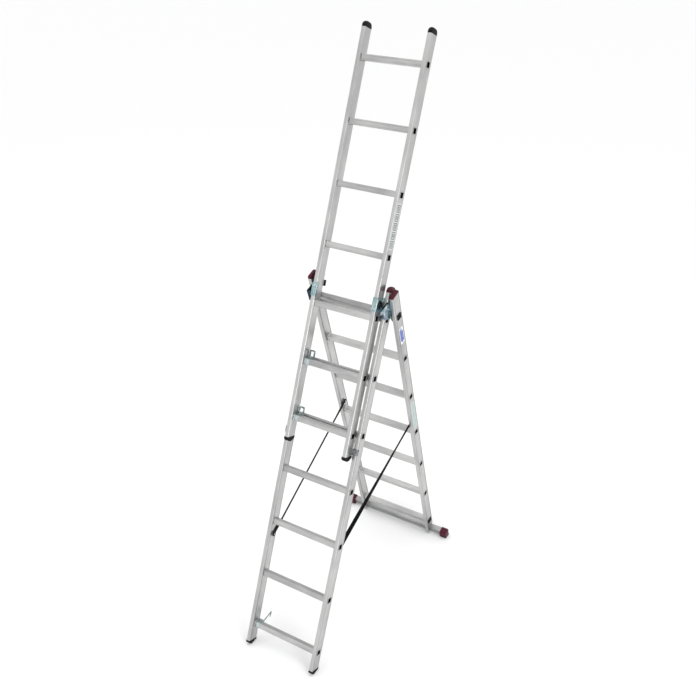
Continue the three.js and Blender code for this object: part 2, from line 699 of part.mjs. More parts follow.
const top = section("top", TOP_CAP_HEIGHT, blackPlastic);
top.add(
  ...pair("top_foot", footGeometry(HALF_WIDTH.top, -TOP_STILE_BELOW_LOWEST_RUNG), rubber),
  ...slideShoes(),
);
for (const rung of [1, 2]) {
  const pieces = [saddle("top", "rung_latch_saddle_" + rung), latch("top", "rung_latch_" + rung)];
  for (const piece of pieces) {
    piece.position.z = (rung - 1) * RUNG_PITCH;
    top.add(piece);
  }
}
top.position.set(0, -PLANE_STEP, RUNGS_RUN_OUT * RUNG_PITCH);
middle.add(top);

// ---- The ladder on its feet ----------------------------------------------------------------------

// Each leg hangs from the hinge line and leans away from it.
function leg(sectionGroup, hingeY, lean) {
  const leaning = new THREE.Group();
  sectionGroup.position.set(0, -hingeY, -HINGE_Z);
  leaning.add(sectionGroup);
  leaning.rotation.x = lean;
  return leaning;
}

const onHinge = new THREE.Group();
onHinge.name = "hinge_line";
const middleLeg = leg(middle, HINGE_Y, -middleLean);
const baseLeg = leg(base, -HINGE_Y, baseLean);
onHinge.add(middleLeg, baseLeg);
onHinge.updateMatrixWorld(true);

function anchorPoint(sectionGroup, name, side) {
  const x = side * (HALF_WIDTH[name] - STILE_WIDTH - FIT - ANCHOR_LENGTH / 2);
  return new THREE.Vector3(x, 0, STRAP_ABOVE_LOWEST_RUNG[name]).applyMatrix4(sectionGroup.matrixWorld);
}
for (const [word, side] of [
  ["right", 1],
  ["left", -1],
]) {
  const ends = [anchorPoint(middle, "middle", side), anchorPoint(base, "base", side)];
  onHinge.add(named("strap_" + word, strapGeometry(...ends), webbing));
}

// The origin is on the floor, in the middle of the ladder's outer box.
const extent = new THREE.Box3().setFromObject(onHinge, true);
onHinge.position.set(0, -(extent.min.y + extent.max.y) / 2, -extent.min.z);

const ladder = new THREE.Group();
ladder.add(onHinge);

export default ladder;
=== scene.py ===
import math
import random

import bmesh
import bpy
from mathutils import Matrix, Vector


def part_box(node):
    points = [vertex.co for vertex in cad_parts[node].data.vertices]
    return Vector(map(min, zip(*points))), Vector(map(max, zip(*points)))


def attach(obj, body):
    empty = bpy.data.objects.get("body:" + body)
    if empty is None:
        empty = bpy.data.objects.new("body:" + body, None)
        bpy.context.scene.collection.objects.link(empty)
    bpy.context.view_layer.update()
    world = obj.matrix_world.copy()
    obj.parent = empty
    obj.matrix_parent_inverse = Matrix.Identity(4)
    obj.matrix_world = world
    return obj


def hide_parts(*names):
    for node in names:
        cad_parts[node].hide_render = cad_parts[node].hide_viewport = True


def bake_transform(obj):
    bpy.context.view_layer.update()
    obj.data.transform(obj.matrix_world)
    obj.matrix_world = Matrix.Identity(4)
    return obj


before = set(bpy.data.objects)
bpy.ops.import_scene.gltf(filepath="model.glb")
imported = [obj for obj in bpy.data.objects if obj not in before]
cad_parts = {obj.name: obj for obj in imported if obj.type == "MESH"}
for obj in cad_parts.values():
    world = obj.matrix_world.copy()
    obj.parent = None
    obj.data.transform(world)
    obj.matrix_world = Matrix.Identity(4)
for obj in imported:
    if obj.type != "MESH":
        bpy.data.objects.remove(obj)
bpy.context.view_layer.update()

MM = 0.001

# ---- Camera --------------------------------------------------------------------------------------

CAMERA_PLACE = Vector((1.777, -3.160, 3.385))
CAMERA_RIGHT = Vector((0.8633, 0.5043, 0.0215))
CAMERA_UP = Vector((-0.2519, 0.3935, 0.8842))
CAMERA_LENS = 44.15  # millimetres
SENSOR_WIDTH = 36  # millimetres
VIEW_REACH = 200  # metres, past the far edge of the floor

camera_data = bpy.data.cameras.new("camera")
camera_data.lens = CAMERA_LENS
camera_data.sensor_width = SENSOR_WIDTH
camera_data.clip_end = VIEW_REACH
camera = bpy.data.objects.new("camera", camera_data)
bpy.context.scene.collection.objects.link(camera)
camera_right = CAMERA_RIGHT.normalized()
camera_back = camera_right.cross(CAMERA_UP).normalized()
camera_up = camera_back.cross(camera_right)
camera_turn = Matrix((camera_right, camera_up, camera_back)).transposed()
camera.matrix_world = Matrix.Translation(CAMERA_PLACE) @ camera_turn.to_4x4()
bpy.context.scene.camera = camera
bpy.context.scene.view_settings.view_transform = "Standard"

# ---- Sizes in millimetres ------------------------------------------------------------------------

RUNG_COUNT = 7
RUNG_DEPTH = 30
RUNG_HEIGHT = 28
RUNG_CORNER = 4
RUNG_WALL = 1.6
FIT = 0.3

STILE_WIDTH = 20
STILE_DEPTH = 62
STILE_CORNER = 4
STILE_WALL = 2.6  # drawn thicker than the real 1.6, so that a track can be cut in it
STILE_ABOVE_TOP_RUNG = 127
BELOW_LOWEST_RUNG = {"base": 95, "middle": 95, "top": 104}
CAP_HEIGHT = {"base": 15, "middle": 26, "top": 27}
CAP_PROUD = 0.6  # how far caps and feet stand out past the stile's faces
FOOT_HEIGHT = 20
FOOT_EDGE_HEIGHT = 6  # at the front and back, where the sole's arc ends

HINGE_ABOVE_TOP_RUNG = 24
PLATE = 2.5
CLASP_ABOVE_TOP_RUNG = 35
CLASP_HEIGHT = 63
PLANE_STEP = 52  # front to back, from one section's plane to the next one's

BODY = {"base": "base_section", "middle": "middle_section", "top": "top_section"}
SIDES = {"right": 1, "left": -1}


def middle_of(node):
    """The middle of a node's box, in metres."""
    low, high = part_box(node)
    return (low + high) / 2


class Section:
    """Where one section of the ladder stands, worked out from its lowest and its top rung."""

    def __init__(self, name):
        self.name = name
        self.body = BODY[name]
        self.origin = middle_of(name + "_rung_1")
        rise = middle_of(name + "_rung_7") - self.origin
        self.pitch = rise.length / MM / (RUNG_COUNT - 1)
        self.up = rise.normalized()
        across = Vector((1, 0, 0))
        self.back = self.up.cross(across)
        self.half_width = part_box(name + "_rung_1")[1].x / MM + FIT
        turned = Matrix((across, self.back, self.up)).transposed().to_4x4()
        self.place = Matrix.Translation(self.origin) @ turned @ Matrix.Scale(MM, 4)
        self.top_rung = (RUNG_COUNT - 1) * self.pitch
        self.stile_top = self.top_rung + STILE_ABOVE_TOP_RUNG
        self.stile_bottom = -BELOW_LOWEST_RUNG[name]
        self.stile_middle = self.half_width - STILE_WIDTH / 2

    def local(self, point):
        """A place in the whole ladder's frame, in this section's millimetres."""
        return self.place.inverted() @ Vector(point)

    def floor(self):
        """A place on the floor under this section and the way up from it, in its millimetres."""
        upward = self.place.to_3x3().inverted() @ Vector((0, 0, 1))
        return self.local((0, self.origin.y, 0.0)), upward.normalized()


sections = {name: Section(name) for name in ("base", "middle", "top")}
base, middle, top = (sections[name] for name in ("base", "middle", "top"))

# ---- Colours and shader nodes --------------------------------------------------------------------


def linear(hex_colour):
    """An sRGB colour such as "#c8c9ca" as the linear values that a shader takes."""
    channels = [int(hex_colour[i : i + 2], 16) / 255 for i in (1, 3, 5)]
    return [c / 12.92 if c <= 0.04045 else ((c + 0.055) / 1.055) ** 2.4 for c in channels] + [1.0]


def wire(node, inputs):
    """Fills a node's inputs: a link is given as a socket, and any other input as its value."""
    for name, value in inputs.items():
        if isinstance(value, bpy.types.NodeSocket):
            node.id_data.links.new(value, node.inputs[name])
        else:
            node.inputs[name].default_value = value


def add(tree, kind, inputs, output=0, **settings):
    """Adds a node with its settings and links, and returns one of its outputs."""
    node = tree.nodes.new(kind)
    for name, value in settings.items():
        setattr(node, name, value)
    wire(node, inputs)
    return node.outputs[output]


def new_material(name):
    """A material with one Principled shader: returns it with its tree and the shader."""
    made = bpy.data.materials.new(name)
    made.use_nodes = True
    return made, made.node_tree, made.node_tree.nodes["Principled BSDF"]


# The sockets of a mix node that blends two colours.
MIX_FACTOR, MIX_FROM, MIX_TO, MIX_RESULT = 0, 6, 7, 2
# Where a noise begins and ends in practice: its values keep to the middle of 0 to 1.
NOISE_LOW, NOISE_HIGH = 0.3, 0.7


def extruded_aluminium(name, dull, bright, rough):
    """Mill-finish extruded aluminium, as it leaves the press: a soft grey metal with fine die lines
    along its length, cloudy patches from handling, and a few bright scratches across."""
    made, tree, shader = new_material(name)
    grain = add(tree, "ShaderNodeAttribute", {}, "Vector", attribute_name="grain")
    # Die lines are about 0.2 mm apart on the real metal and are drawn 1.2 mm apart so that they show.
    across = 1 / (1.2 * MM)
    run = add(tree, "ShaderNodeVectorMath", {0: grain, 1: (across, across, 1.6)}, operation="MULTIPLY")
    lines = add(tree, "ShaderNodeTexNoise", {"Vector": run, "Scale": 1.0, "Detail": 4, "Roughness": 0.7})
    run = add(tree, "ShaderNodeVectorMath", {0: grain, 1: (24, 24, 7)}, operation="MULTIPLY")
    clouds = add(tree, "ShaderNodeTexNoise", {"Vector": run, "Scale": 1.0, "Detail": 5, "Roughness": 0.62})
    run = add(tree, "ShaderNodeVectorMath", {0: grain, 1: (9, 9, 2.4)}, operation="MULTIPLY")
    handled = add(tree, "ShaderNodeTexNoise", {"Vector": run, "Scale": 1.0, "Detail": 3, "Roughness": 0.5})
    run = add(tree, "ShaderNodeVectorMath", {0: grain, 1: (60, 60, 900)}, operation="MULTIPLY")
    scratches = add(tree, "ShaderNodeTexNoise", {"Vector": run, "Scale": 1.0, "Detail": 1, "Roughness": 0.5})
    marks = add(tree, "ShaderNodeMapRange", {"Value": scratches, "From Min": 0.72, "From Max": 0.78})
    mixed = add(tree, "ShaderNodeMath", {0: lines, 1: clouds}, operation="ADD")
    tint = add(tree, "ShaderNodeMath", {0: mixed, 1: handled}, operation="ADD")
    share = add(tree, "ShaderNodeMapRange", {"Value": tint, "From Min": 1.2, "From Max": 1.8})
    shades = {MIX_FACTOR: share, MIX_FROM: linear(dull), MIX_TO: linear(bright)}
    spans = {"From Min": 0.7, "From Max": 1.3, "To Min": rough - 0.07, "To Max": rough + 0.09}
    matt = add(tree, "ShaderNodeMapRange", {"Value": mixed, **spans})
    rubbed = add(tree, "ShaderNodeMath", {0: marks, 1: -0.12}, operation="MULTIPLY")
    normal = add(tree, "ShaderNodeBump", {"Height": lines, "Distance": 0.05 * MM, "Strength": 0.5})
    dents = {"Height": clouds, "Distance": 0.35 * MM, "Strength": 0.35, "Normal": normal}
    normal = add(tree, "ShaderNodeBump", dents)
    nicks = {"Height": marks, "Distance": 0.04 * MM, "Strength": 0.6, "Normal": normal}
    wire(shader, {
        "Metallic": 1.0,
        "Base Color": add(tree, "ShaderNodeMix", shades, MIX_RESULT, data_type="RGBA"),
        "Roughness": add(tree, "ShaderNodeMath", {0: matt, 1: rubbed}, operation="ADD"),
        "Normal": add(tree, "ShaderNodeBump", nicks),
    })
    return made


def plated_steel(name, dark, pale, rough, patch_mm=9, brightest="#c9dbdc"):
    """Pressed sheet steel with bright passivated zinc on it: a cool metal whose tint drifts between
    blue and grey in small patches, with the fine grain of the rolled sheet under it."""
    made, tree, shader = new_material(name)
    place = add(tree, "ShaderNodeTexCoord", {}, "Object")
    drift = {"Vector": place, "Scale": 1 / (patch_mm * MM), "Detail": 4, "Roughness": 0.6}
    patches = add(tree, "ShaderNodeTexNoise", drift)
    crystals = add(tree, "ShaderNodeTexVoronoi", {"Vector": place, "Scale": 1 / (1.6 * MM)}, "Distance")
    grit = add(tree, "ShaderNodeTexNoise", {"Vector": place, "Scale": 1 / (0.5 * MM), "Roughness": 0.5})
    share = add(tree, "ShaderNodeMapRange", {"Value": patches, "From Min": 0.36, "From Max": 0.525})
    shades = {MIX_FACTOR: share, MIX_FROM: linear(dark), MIX_TO: linear(pale)}
    tint = add(tree, "ShaderNodeMix", shades, MIX_RESULT, data_type="RGBA")
    share = add(tree, "ShaderNodeMapRange", {"Value": patches, "From Min": 0.525, "From Max": 0.66})
    bloom = {MIX_FACTOR: share, MIX_FROM: tint, MIX_TO: linear(brightest)}
    spans = {"From Min": NOISE_LOW, "From Max": NOISE_HIGH, "To Min": rough + 0.1, "To Max": rough - 0.06}
    normal = add(tree, "ShaderNodeBump", {"Height": crystals, "Distance": 0.02 * MM, "Strength": 0.35})
    rolled = {"Height": grit, "Distance": 0.02 * MM, "Strength": 0.5, "Normal": normal}
    wire(shader, {
        "Metallic": 1.0,
        "Base Color": add(tree, "ShaderNodeMix", bloom, MIX_RESULT, data_type="RGBA"),
        "Roughness": add(tree, "ShaderNodeMapRange", {"Value": patches, **spans}),
        "Normal": add(tree, "ShaderNodeBump", rolled),
    })
    return made


def moulded_plastic(name, colour, pale, rough, shine=0.3):
    """Injection-moulded plastic from a spark-eroded mould: an even satin skin with a fine grain, a
    little paler where it has been rubbed."""
    made, tree, shader = new_material(name)
    place = add(tree, "ShaderNodeTexCoord", {}, "Object")
    grain = {"Vector": place, "Scale": 1 / (0.7 * MM), "Detail": 3, "Roughness": 0.6}
    skin = add(tree, "ShaderNodeTexNoise", grain)
    patches = {"Vector": place, "Scale": 1 / (14 * MM), "Detail": 4, "Roughness": 0.65}
    rubbed = add(tree, "ShaderNodeTexNoise", patches)
    share = add(tree, "ShaderNodeMapRange", {"Value": rubbed, "From Min": 0.3, "From Max": 0.8})
    shades = {MIX_FACTOR: share, MIX_FROM: linear(colour), MIX_TO: linear(pale)}
    spans = {"From Min": NOISE_LOW, "From Max": NOISE_HIGH, "To Min": rough - 0.04, "To Max": rough + 0.08}
    wire(shader, {
        "Specular IOR Level": shine,
        "Base Color": add(tree, "ShaderNodeMix", shades, MIX_RESULT, data_type="RGBA"),
        "Roughness": add(tree, "ShaderNodeMapRange", {"Value": rubbed, **spans}),
        "Normal": add(tree, "ShaderNodeBump", {"Height": skin, "Distance": 0.06 * MM, "Strength": 0.45}),
    })
    return made


def moulded_rubber(name, colour, dusty):
    """Compression-moulded black rubber: dull, with a pebbled skin and grey dust in its hollows."""
    made, tree, shader = new_material(name)
    place = add(tree, "ShaderNodeTexCoord", {}, "Object")
    pebbles = add(tree, "ShaderNodeTexVoronoi", {"Vector": place, "Scale": 1 / (1.1 * MM)}, "Distance")
    patches = {"Vector": place, "Scale": 1 / (11 * MM), "Detail": 5, "Roughness": 0.7}
    dust = add(tree, "ShaderNodeTexNoise", patches)
    share = add(tree, "ShaderNodeMapRange", {"Value": dust, "From Min": 0.42, "From Max": 0.75})
    shades = {MIX_FACTOR: share, MIX_FROM: linear(colour), MIX_TO: linear(dusty)}
    spans = {"From Min": NOISE_LOW, "From Max": NOISE_HIGH, "To Min": 0.62, "To Max": 0.86}
    wire(shader, {
        "Specular IOR Level": 0.2,
        "IOR": 1.52,
        "Base Color": add(tree, "ShaderNodeMix", shades, MIX_RESULT, data_type="RGBA"),
        "Roughness": add(tree, "ShaderNodeMapRange", {"Value": dust, **spans}),
        "Normal": add(tree, "ShaderNodeBump", {"Height": pebbles, "Distance": 0.08 * MM, "Strength": 0.5}),
    })
    return made


def woven_webbing(name, colour, pale):
    """Woven polyester webbing: warp cords along the strap with the weft crossing under them, matt
    with a faint sheen on the crowns of the threads."""
    made, tree, shader = new_material(name)
    grain = add(tree, "ShaderNodeAttribute", {}, "Vector", attribute_name="grain")
    parts = add(tree, "ShaderNodeSeparateXYZ", {"Vector": grain}).node.outputs
    # The cords are 1.5 mm apart and the picks 1.1 mm.
    cord = add(tree, "ShaderNodeMath", {0: parts["X"], 1: math.pi / (1.5 * MM)}, operation="MULTIPLY")
    pick = add(tree, "ShaderNodeMath", {0: parts["Z"], 1: math.pi / (1.1 * MM)}, operation="MULTIPLY")
    ribs = add(tree, "ShaderNodeMath", {0: cord}, operation="SINE")
    picks = add(tree, "ShaderNodeMath", {0: pick}, operation="SINE")
    weave = add(tree, "ShaderNodeMath", {0: ribs, 1: picks}, operation="MULTIPLY")
    run = add(tree, "ShaderNodeVectorMath", {0: grain, 1: (2600, 2600, 900)}, operation="MULTIPLY")
    fuzz = add(tree, "ShaderNodeTexNoise", {"Vector": run, "Scale": 1.0, "Detail": 3, "Roughness": 0.5})
    share = add(tree, "ShaderNodeMapRange", {"Value": weave, "From Min": -1, "From Max": 1})
    shades = {MIX_FACTOR: share, MIX_FROM: linear(colour), MIX_TO: linear(pale)}
    normal = add(tree, "ShaderNodeBump", {"Height": weave, "Distance": 0.25 * MM, "Strength": 0.8})
    hairs = {"Height": fuzz, "Distance": 0.08 * MM, "Strength": 0.4, "Normal": normal}
    wire(shader, {
        "Specular IOR Level": 0.12,
        "Roughness": 0.9,
        "Sheen Weight": 0.04,
        "Sheen Roughness": 0.4,
        "Base Color": add(tree, "ShaderNodeMix", shades, MIX_RESULT, data_type="RGBA"),
        "Normal": add(tree, "ShaderNodeBump", hairs),
    })
    return made


def printed_film(name, colour, worn):
    """Printed polyester film: smooth and slightly glossy, a little uneven over the metal below."""
    made, tree, shader = new_material(name)
    place = add(tree, "ShaderNodeTexCoord", {}, "Object")
    ripple = add(tree, "ShaderNodeTexNoise", {"Vector": place, "Scale": 1 / (12 * MM), "Roughness": 0.5})
    wear = {"Vector": place, "Scale": 1 / (3 * MM), "Detail": 5, "Roughness": 0.7}
    rub = add(tree, "ShaderNodeTexNoise", wear)
    share = add(tree, "ShaderNodeMapRange", {"Value": rub, "From Min": 0.35, "From Max": 0.8})
    shades = {MIX_FACTOR: share, MIX_FROM: linear(colour), MIX_TO: linear(worn)}
    spans = {"From Min": NOISE_LOW, "From Max": NOISE_HIGH, "To Min": 0.4, "To Max": 0.55}
    wire(shader, {
        "Specular IOR Level": 0.2,
        "Base Color": add(tree, "ShaderNodeMix", shades, MIX_RESULT, data_type="RGBA"),
        "Roughness": add(tree, "ShaderNodeMapRange", {"Value": rub, **spans}),
        "Normal": add(tree, "ShaderNodeBump", {"Height": ripple, "Distance": 0.2 * MM, "Strength": 0.3}),
    })
    return made


stile_metal = extruded_aluminium("mill_finish_aluminium_stile", "#a6a6a6", "#cacac9", 0.32)
rung_metal = extruded_aluminium("mill_finish_aluminium_rung", "#a2a2a2", "#cacac9", 0.34)
# Dark aluminium for the floors of the stiles' tracks: painted shade, standing in for the shadow down in the
# narrow tracks.
track_shade_metal = extruded_aluminium("greasy_aluminium_track", "#4c4c4c", "#787878", 0.5)
# Near-black aluminium for the insides of the rungs: painted shade, standing in for the shadow inside the
# hollow rungs.
bore_shade_metal = extruded_aluminium("dull_aluminium_rung_bore", "#222223", "#454545", 0.55)
bar_metal = extruded_aluminium("mill_finish_aluminium_bar", "#8c8d8d", "#b4b4b4", 0.36)
blue_zinc = plated_steel("blue_passivated_zinc_on_pressed_steel", "#7b969a", "#9db4b6", 0.25)
steel_blue = plated_steel("heavy_blue_zinc_on_hinge_steel", "#6c7f8f", "#93a4b1", 0.28, patch_mm=22)
# Dark zinc for the hinge plates: painted shade, standing in for the shadow in the narrow gap between the
# base and middle stiles where the plates sit.
shaded_zinc = plated_steel("thick_zinc_on_steel_plate", "#2f454d", "#5f7d85", 0.34, patch_mm=14)
green_zinc = plated_steel("green_passivated_zinc_on_flat_steel", "#56686a", "#84928f", 0.36)
grey_steel = plated_steel("dull_zinc_on_pressed_steel", "#5c6062", "#84888a", 0.42, brightest="#9da1a2")
bright_zinc = plated_steel("bright_zinc_on_steel_rivet", "#8d989b", "#c3cccd", 0.24, patch_mm=3)
black_plastic = moulded_plastic("black_moulded_polypropylene", "#030303", "#0c0c0d", 0.55, shine=0.16)
maroon_plastic = moulded_plastic("maroon_moulded_polypropylene", "#3c0719", "#521228", 0.42, shine=0.2)
black_rubber = moulded_rubber("black_moulded_rubber", "#070707", "#1b1b1a")
black_webbing = woven_webbing("black_woven_polyester_webbing", "#020202", "#0a0a0b")
clear_film = printed_film("silver_printed_polyester_film", "#c9cccd", "#b4b8ba")
white_film = printed_film("white_printed_polyester_film", "#e9ecee", "#d5d9dc")
tinted_film = printed_film("pale_green_printed_polyester_film", "#b6c3c1", "#a5b3b1")
grey_ink = printed_film("grey_screen_ink_on_film", "#33383a", "#50565a")
pale_ink = printed_film("pale_screen_ink_on_film", "#6f8083", "#8a999b")
blue_ink = printed_film("blue_screen_ink_on_film", "#06359c", "#1545ab")

# ---- Outlines ------------------------------------------------------------------------------------


def rounded_rectangle(width, height, radius, steps=5):
    """Points round a rectangle with round corners, anticlockwise."""
    points = []
    for quarter, (sx, sy) in enumerate([(1, 1), (-1, 1), (-1, -1), (1, -1)]):
        for i in range(steps + 1):
            angle = (quarter + i / steps) * math.pi / 2
            x = sx * (width / 2 - radius) + radius * math.cos(angle)
            y = sy * (height / 2 - radius) + radius * math.sin(angle)
            points.append((x, y))
    return points


def grown(points, by):
    """An outline moved out along its own normals."""
    count = len(points)
    moved = []
    for i, (x, y) in enumerate(points):
        ax, ay = points[i - 1]
        bx, by_ = points[(i + 1) % count]
        tangent = Vector((bx - ax, by_ - ay)).normalized()
        moved.append((x + tangent.y * by, y - tangent.x * by))
    return moved


def moved(points, across, along=0):
    """An outline moved in its own plane."""
    return [(a + across, b + along) for a, b in points]


CORNER_STEPS = 5


def walk(corners):
    """Points along a closed outline whose corners may each have a radius: (x, y) or (x, y, radius)."""
    points = []
    count = len(corners)
    for i, corner in enumerate(corners):
        here = Vector(corner[:2])
        if len(corner) == 2:
            points.append(tuple(here))
            continue
        before = Vector(corners[i - 1][:2]) - here
        after = Vector(corners[(i + 1) % count][:2]) - here
        start = here + before.normalized() * corner[2]
        end = here + after.normalized() * corner[2]
        for step in range(CORNER_STEPS + 1):
            t = step / CORNER_STEPS
            points.append(tuple(start * (1 - t) ** 2 + here * 2 * t * (1 - t) + end * t * t))
    return points


def bore_outline(outer, width, height, radius):
    """The bore of a hollow bar, matched point for point to its outside: a plain rounded rectangle."""
    flat_x, flat_y = width / 2 - radius, height / 2 - radius
    points = []
    for x, y in outer:
        if abs(y) < flat_y:
            points.append((math.copysign(width / 2, x), y))
        elif abs(x) < flat_x:
            points.append((x, math.copysign(height / 2, y)))
        else:
            corner = Vector((math.copysign(flat_x, x), math.copysign(flat_y, y)))
            away = (Vector((x, y)) - corner).normalized() * radius
            points.append(tuple(corner + away))
    return points


# ---- Meshes --------------------------------------------------------------------------------------

SHARP_EDGE = 40  # degrees between two faces, from which an edge is rounded
ROUND_SEGMENTS = 2
ROUND_PROFILE = 0.7
GRAIN_SPREAD = 3  # metres: each piece takes its grain from another place in the pattern
GRAIN_ORDER = {"z": (0, 1, 2), "x": (1, 2, 0)}

class Build:
    """A mesh in the making, in the millimetres of one section. grain_axis is the axis that the
    piece was drawn or extruded along, which the metal's lines follow."""

    def __init__(self, grain_axis="z"):
        self.mesh = bmesh.new()
        self.grain_axis = grain_axis

    def ring(self, points):
        """New vertices at the points."""
        return [self.mesh.verts.new(p) for p in points]

    def skin(self, rings, closed=False):
        """Faces between rings of the same count, in order."""
        pairs = list(zip(rings, rings[1:])) + ([(rings[-1], rings[0])] if closed else [])
        for a, b in pairs:
            count = len(a)
            for i in range(count):
                j = (i + 1) % count
                self.mesh.faces.new((a[i], a[j], b[j], b[i]))

    def solid(self, rings):
        """A skin over rings that is closed at both ends."""
        self.skin(rings)
        self.mesh.faces.new(rings[0][::-1])
        self.mesh.faces.new(rings[-1])

    def tube(self, outer, inner, stations, to_point):
        """A hollow bar: both outlines at each station (place, outer growth, inner growth). The faces
        of the bore take the piece's second material, where it has one."""
        outside = [self.ring(to_point(p, at) for p in grown(outer, out)) for at, out, _ in stations]
        inside = [self.ring(to_point(p, at) for p in grown(inner, into)) for at, _, into in stations]
        self.skin(outside + inside[::-1], closed=True)
        bore = {vertex for ring in inside for vertex in ring}
        for face in self.mesh.faces:
            face.material_index = int(all(vertex in bore for vertex in face.verts))

    def bar(self, outline, stations, to_point):
        """A solid bar: an outline at each station (place, growth), closed at both ends."""
        self.solid([self.ring(to_point(p, at) for p in grown(outline, out)) for at, out in stations])

    def spun(self, profile, centre, sides=24):
        """A piece turned about a line across the ladder: (radius, distance along the line) points
        about a centre, closed at the ends."""
        rings = []
        for radius, along in profile:
            points = []
            for i in range(sides):
                angle = 2 * math.pi * i / sides
                offset = Vector((along, radius * math.cos(angle), radius * math.sin(angle)))
                points.append(Vector(centre) + offset)
            rings.append(self.ring(points))
        self.solid(rings)

    def cut_off(self, place, normal, keep_above=True):
        """Cuts the piece along a plane, and closes the cut."""
        geometry = self.mesh.verts[:] + self.mesh.edges[:] + self.mesh.faces[:]
        cut = bmesh.ops.bisect_plane(
            self.mesh, geom=geometry, plane_co=place, plane_no=normal,
            clear_inner=keep_above, clear_outer=not keep_above,
        )
        edges = [e for e in cut["geom_cut"] if isinstance(e, bmesh.types.BMEdge)]
        bmesh.ops.holes_fill(self.mesh, edges=edges)

    def done(
        self, name, section, material, bore=None, body=None, smooth=35, bevel=0.0,
        replaces=(), mirror=False,
    ):
        """The finished piece in metres: in place, mirrored to the left if asked, riding on its body."""
        made = self.mesh
        if mirror:
            bmesh.ops.scale(made, vec=(-1, 1, 1), verts=made.verts)
        bmesh.ops.recalc_face_normals(made, faces=made.faces)
        if bevel:
            sharp = math.radians(SHARP_EDGE)
            edges = [e for e in made.edges if len(e.link_faces) == 2 and e.calc_face_angle() > sharp]
            bmesh.ops.bevel(
                made, geom=edges, offset=bevel, segments=ROUND_SEGMENTS, profile=ROUND_PROFILE,
                affect="EDGES", clamp_overlap=True,
            )
        order = GRAIN_ORDER[self.grain_axis]
        shift = random.Random(name).random() * GRAIN_SPREAD
        grain = [Vector([v.co[i] * MM for i in order]) + Vector((shift, 0, shift)) for v in made.verts]
        made.transform(section.place)
        mesh = bpy.data.meshes.new(name)
        made.to_mesh(mesh)
        made.free()
        attribute = mesh.attributes.new("grain", "FLOAT_VECTOR", "POINT")
        attribute.data.foreach_set("vector", [c for v in grain for c in v])
        for each in (material, bore or material):
            mesh.materials.append(each)
        piece = bpy.data.objects.new(name, mesh)
        bpy.context.scene.collection.objects.link(piece)
        soften(piece, smooth)
        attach(piece, body or section.body)
        if replaces:
            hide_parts(*replaces)
        return piece


def soften(piece, angle):
    """Smooth shading, with edges sharper than the angle left crisp."""
    mesh = piece.data
    mesh.shade_smooth()
    checked = bmesh.new()
    checked.from_mesh(mesh)
    for edge in checked.edges:
        edge.smooth = not (len(edge.link_faces) == 2 and edge.calc_face_angle() > math.radians(angle))
    checked.to_mesh(mesh)
    checked.free()


def along_x(point, at):
    """A point of an outline that is drawn from the side, at a distance across the ladder."""
    return (at, point[0], point[1])


def along_z(point, at):
    """A point of an outline that is drawn from above, at a height along the stile."""
    return (point[0], point[1], at)


# ---- Stiles --------------------------------------------------------------------------------------

TRACK_FROM_EDGE = 5  # the track that a slide shoe's lip runs in, from the stile's front and back
TRACK_WIDTH = 3.4
TRACK_DEPTH = 1.7
TRACK_SLOPE = 0.4  # how far each wall of the track leans in
STILE_BORE_CORNER = 2.0
TOUCHING = 0.05  # two planes nearer than this are one
SAWN_EDGE = 0.5  # the small broken edge at a sawn end
SAWN_EDGE_INSIDE = 0.3
OVERRUN = 2  # how far a cutting solid reaches past a wall
NOTCH_OVERRUN = 5
LEAST_FACES = 100  # a stile with fewer has been lost in the cut


def stile_outline(tracked):
    """A box section with round corners. The outer two sections have a track near each edge."""
    if not tracked:
        return rounded_rectangle(STILE_WIDTH, STILE_DEPTH, STILE_CORNER)
    x, y = STILE_WIDTH / 2, STILE_DEPTH / 2
    near = y - TRACK_FROM_EDGE
    far = near - TRACK_WIDTH
    deep = x - TRACK_DEPTH
    side = [(x, -near), (deep, -near + TRACK_SLOPE), (deep, -far - TRACK_SLOPE), (x, -far)]
    side += [(px, -py) for px, py in reversed(side)]
    half = [(x, -y, STILE_CORNER), *side, (x, y, STILE_CORNER)]
    other = [(-c[0], -c[1], *c[2:]) for c in half]
    return walk(half + other)


def rung_hole(width_from, width_to, at):
    """The solid that a rung's hole takes out of a stile."""
    tool = bmesh.new()
    outline = rounded_rectangle(RUNG_DEPTH + 2 * FIT, RUNG_HEIGHT + 2 * FIT, RUNG_CORNER + FIT)
    rings = [[tool.verts.new((x, p[0], p[1] + at)) for p in outline] for x in (width_from, width_to)]
    for i in range(len(outline)):
        j = (i + 1) % len(outline)
        tool.faces.new((rings[0][i], rings[0][j], rings[1][j], rings[1][i]))
    tool.faces.new(rings[0][::-1])
    tool.faces.new(rings[1])
    return tool


def cut_out(build, tools):
    """Takes closed solids out of a build, all at once."""
    target_mesh = bpy.data.meshes.new("cut_target")
    bmesh.ops.recalc_face_normals(build.mesh, faces=build.mesh.faces)
    build.mesh.to_mesh(target_mesh)
    joined = bmesh.new()
    for tool in tools:
        bmesh.ops.recalc_face_normals(tool, faces=tool.faces)
        held = bpy.data.meshes.new("cut_tool")
        tool.to_mesh(held)
        tool.free()
        joined.from_mesh(held)
        bpy.data.meshes.remove(held)
    tool_mesh = bpy.data.meshes.new("cut_tools")
    joined.to_mesh(tool_mesh)
    joined.free()
    target = bpy.data.objects.new("cut_target", target_mesh)
    cutter = bpy.data.objects.new("cut_tools", tool_mesh)
    for each in (target, cutter):
        bpy.context.scene.collection.objects.link(each)
    boolean = target.modifiers.new("cut", "BOOLEAN")
    boolean.operation = "DIFFERENCE"
    boolean.solver = "EXACT"
    boolean.object = cutter
    bpy.context.view_layer.update()
    shown = target.evaluated_get(bpy.context.evaluated_depsgraph_get())
    result = shown.to_mesh()
    build.mesh.clear()
    build.mesh.from_mesh(result)
    shown.to_mesh_clear()
    if len(build.mesh.faces) < LEAST_FACES:
        raise RuntimeError("a stile was lost when its holes were cut")
    for each, mesh in ((target, target_mesh), (cutter, tool_mesh)):
        bpy.data.objects.remove(each)
        bpy.data.meshes.remove(mesh)


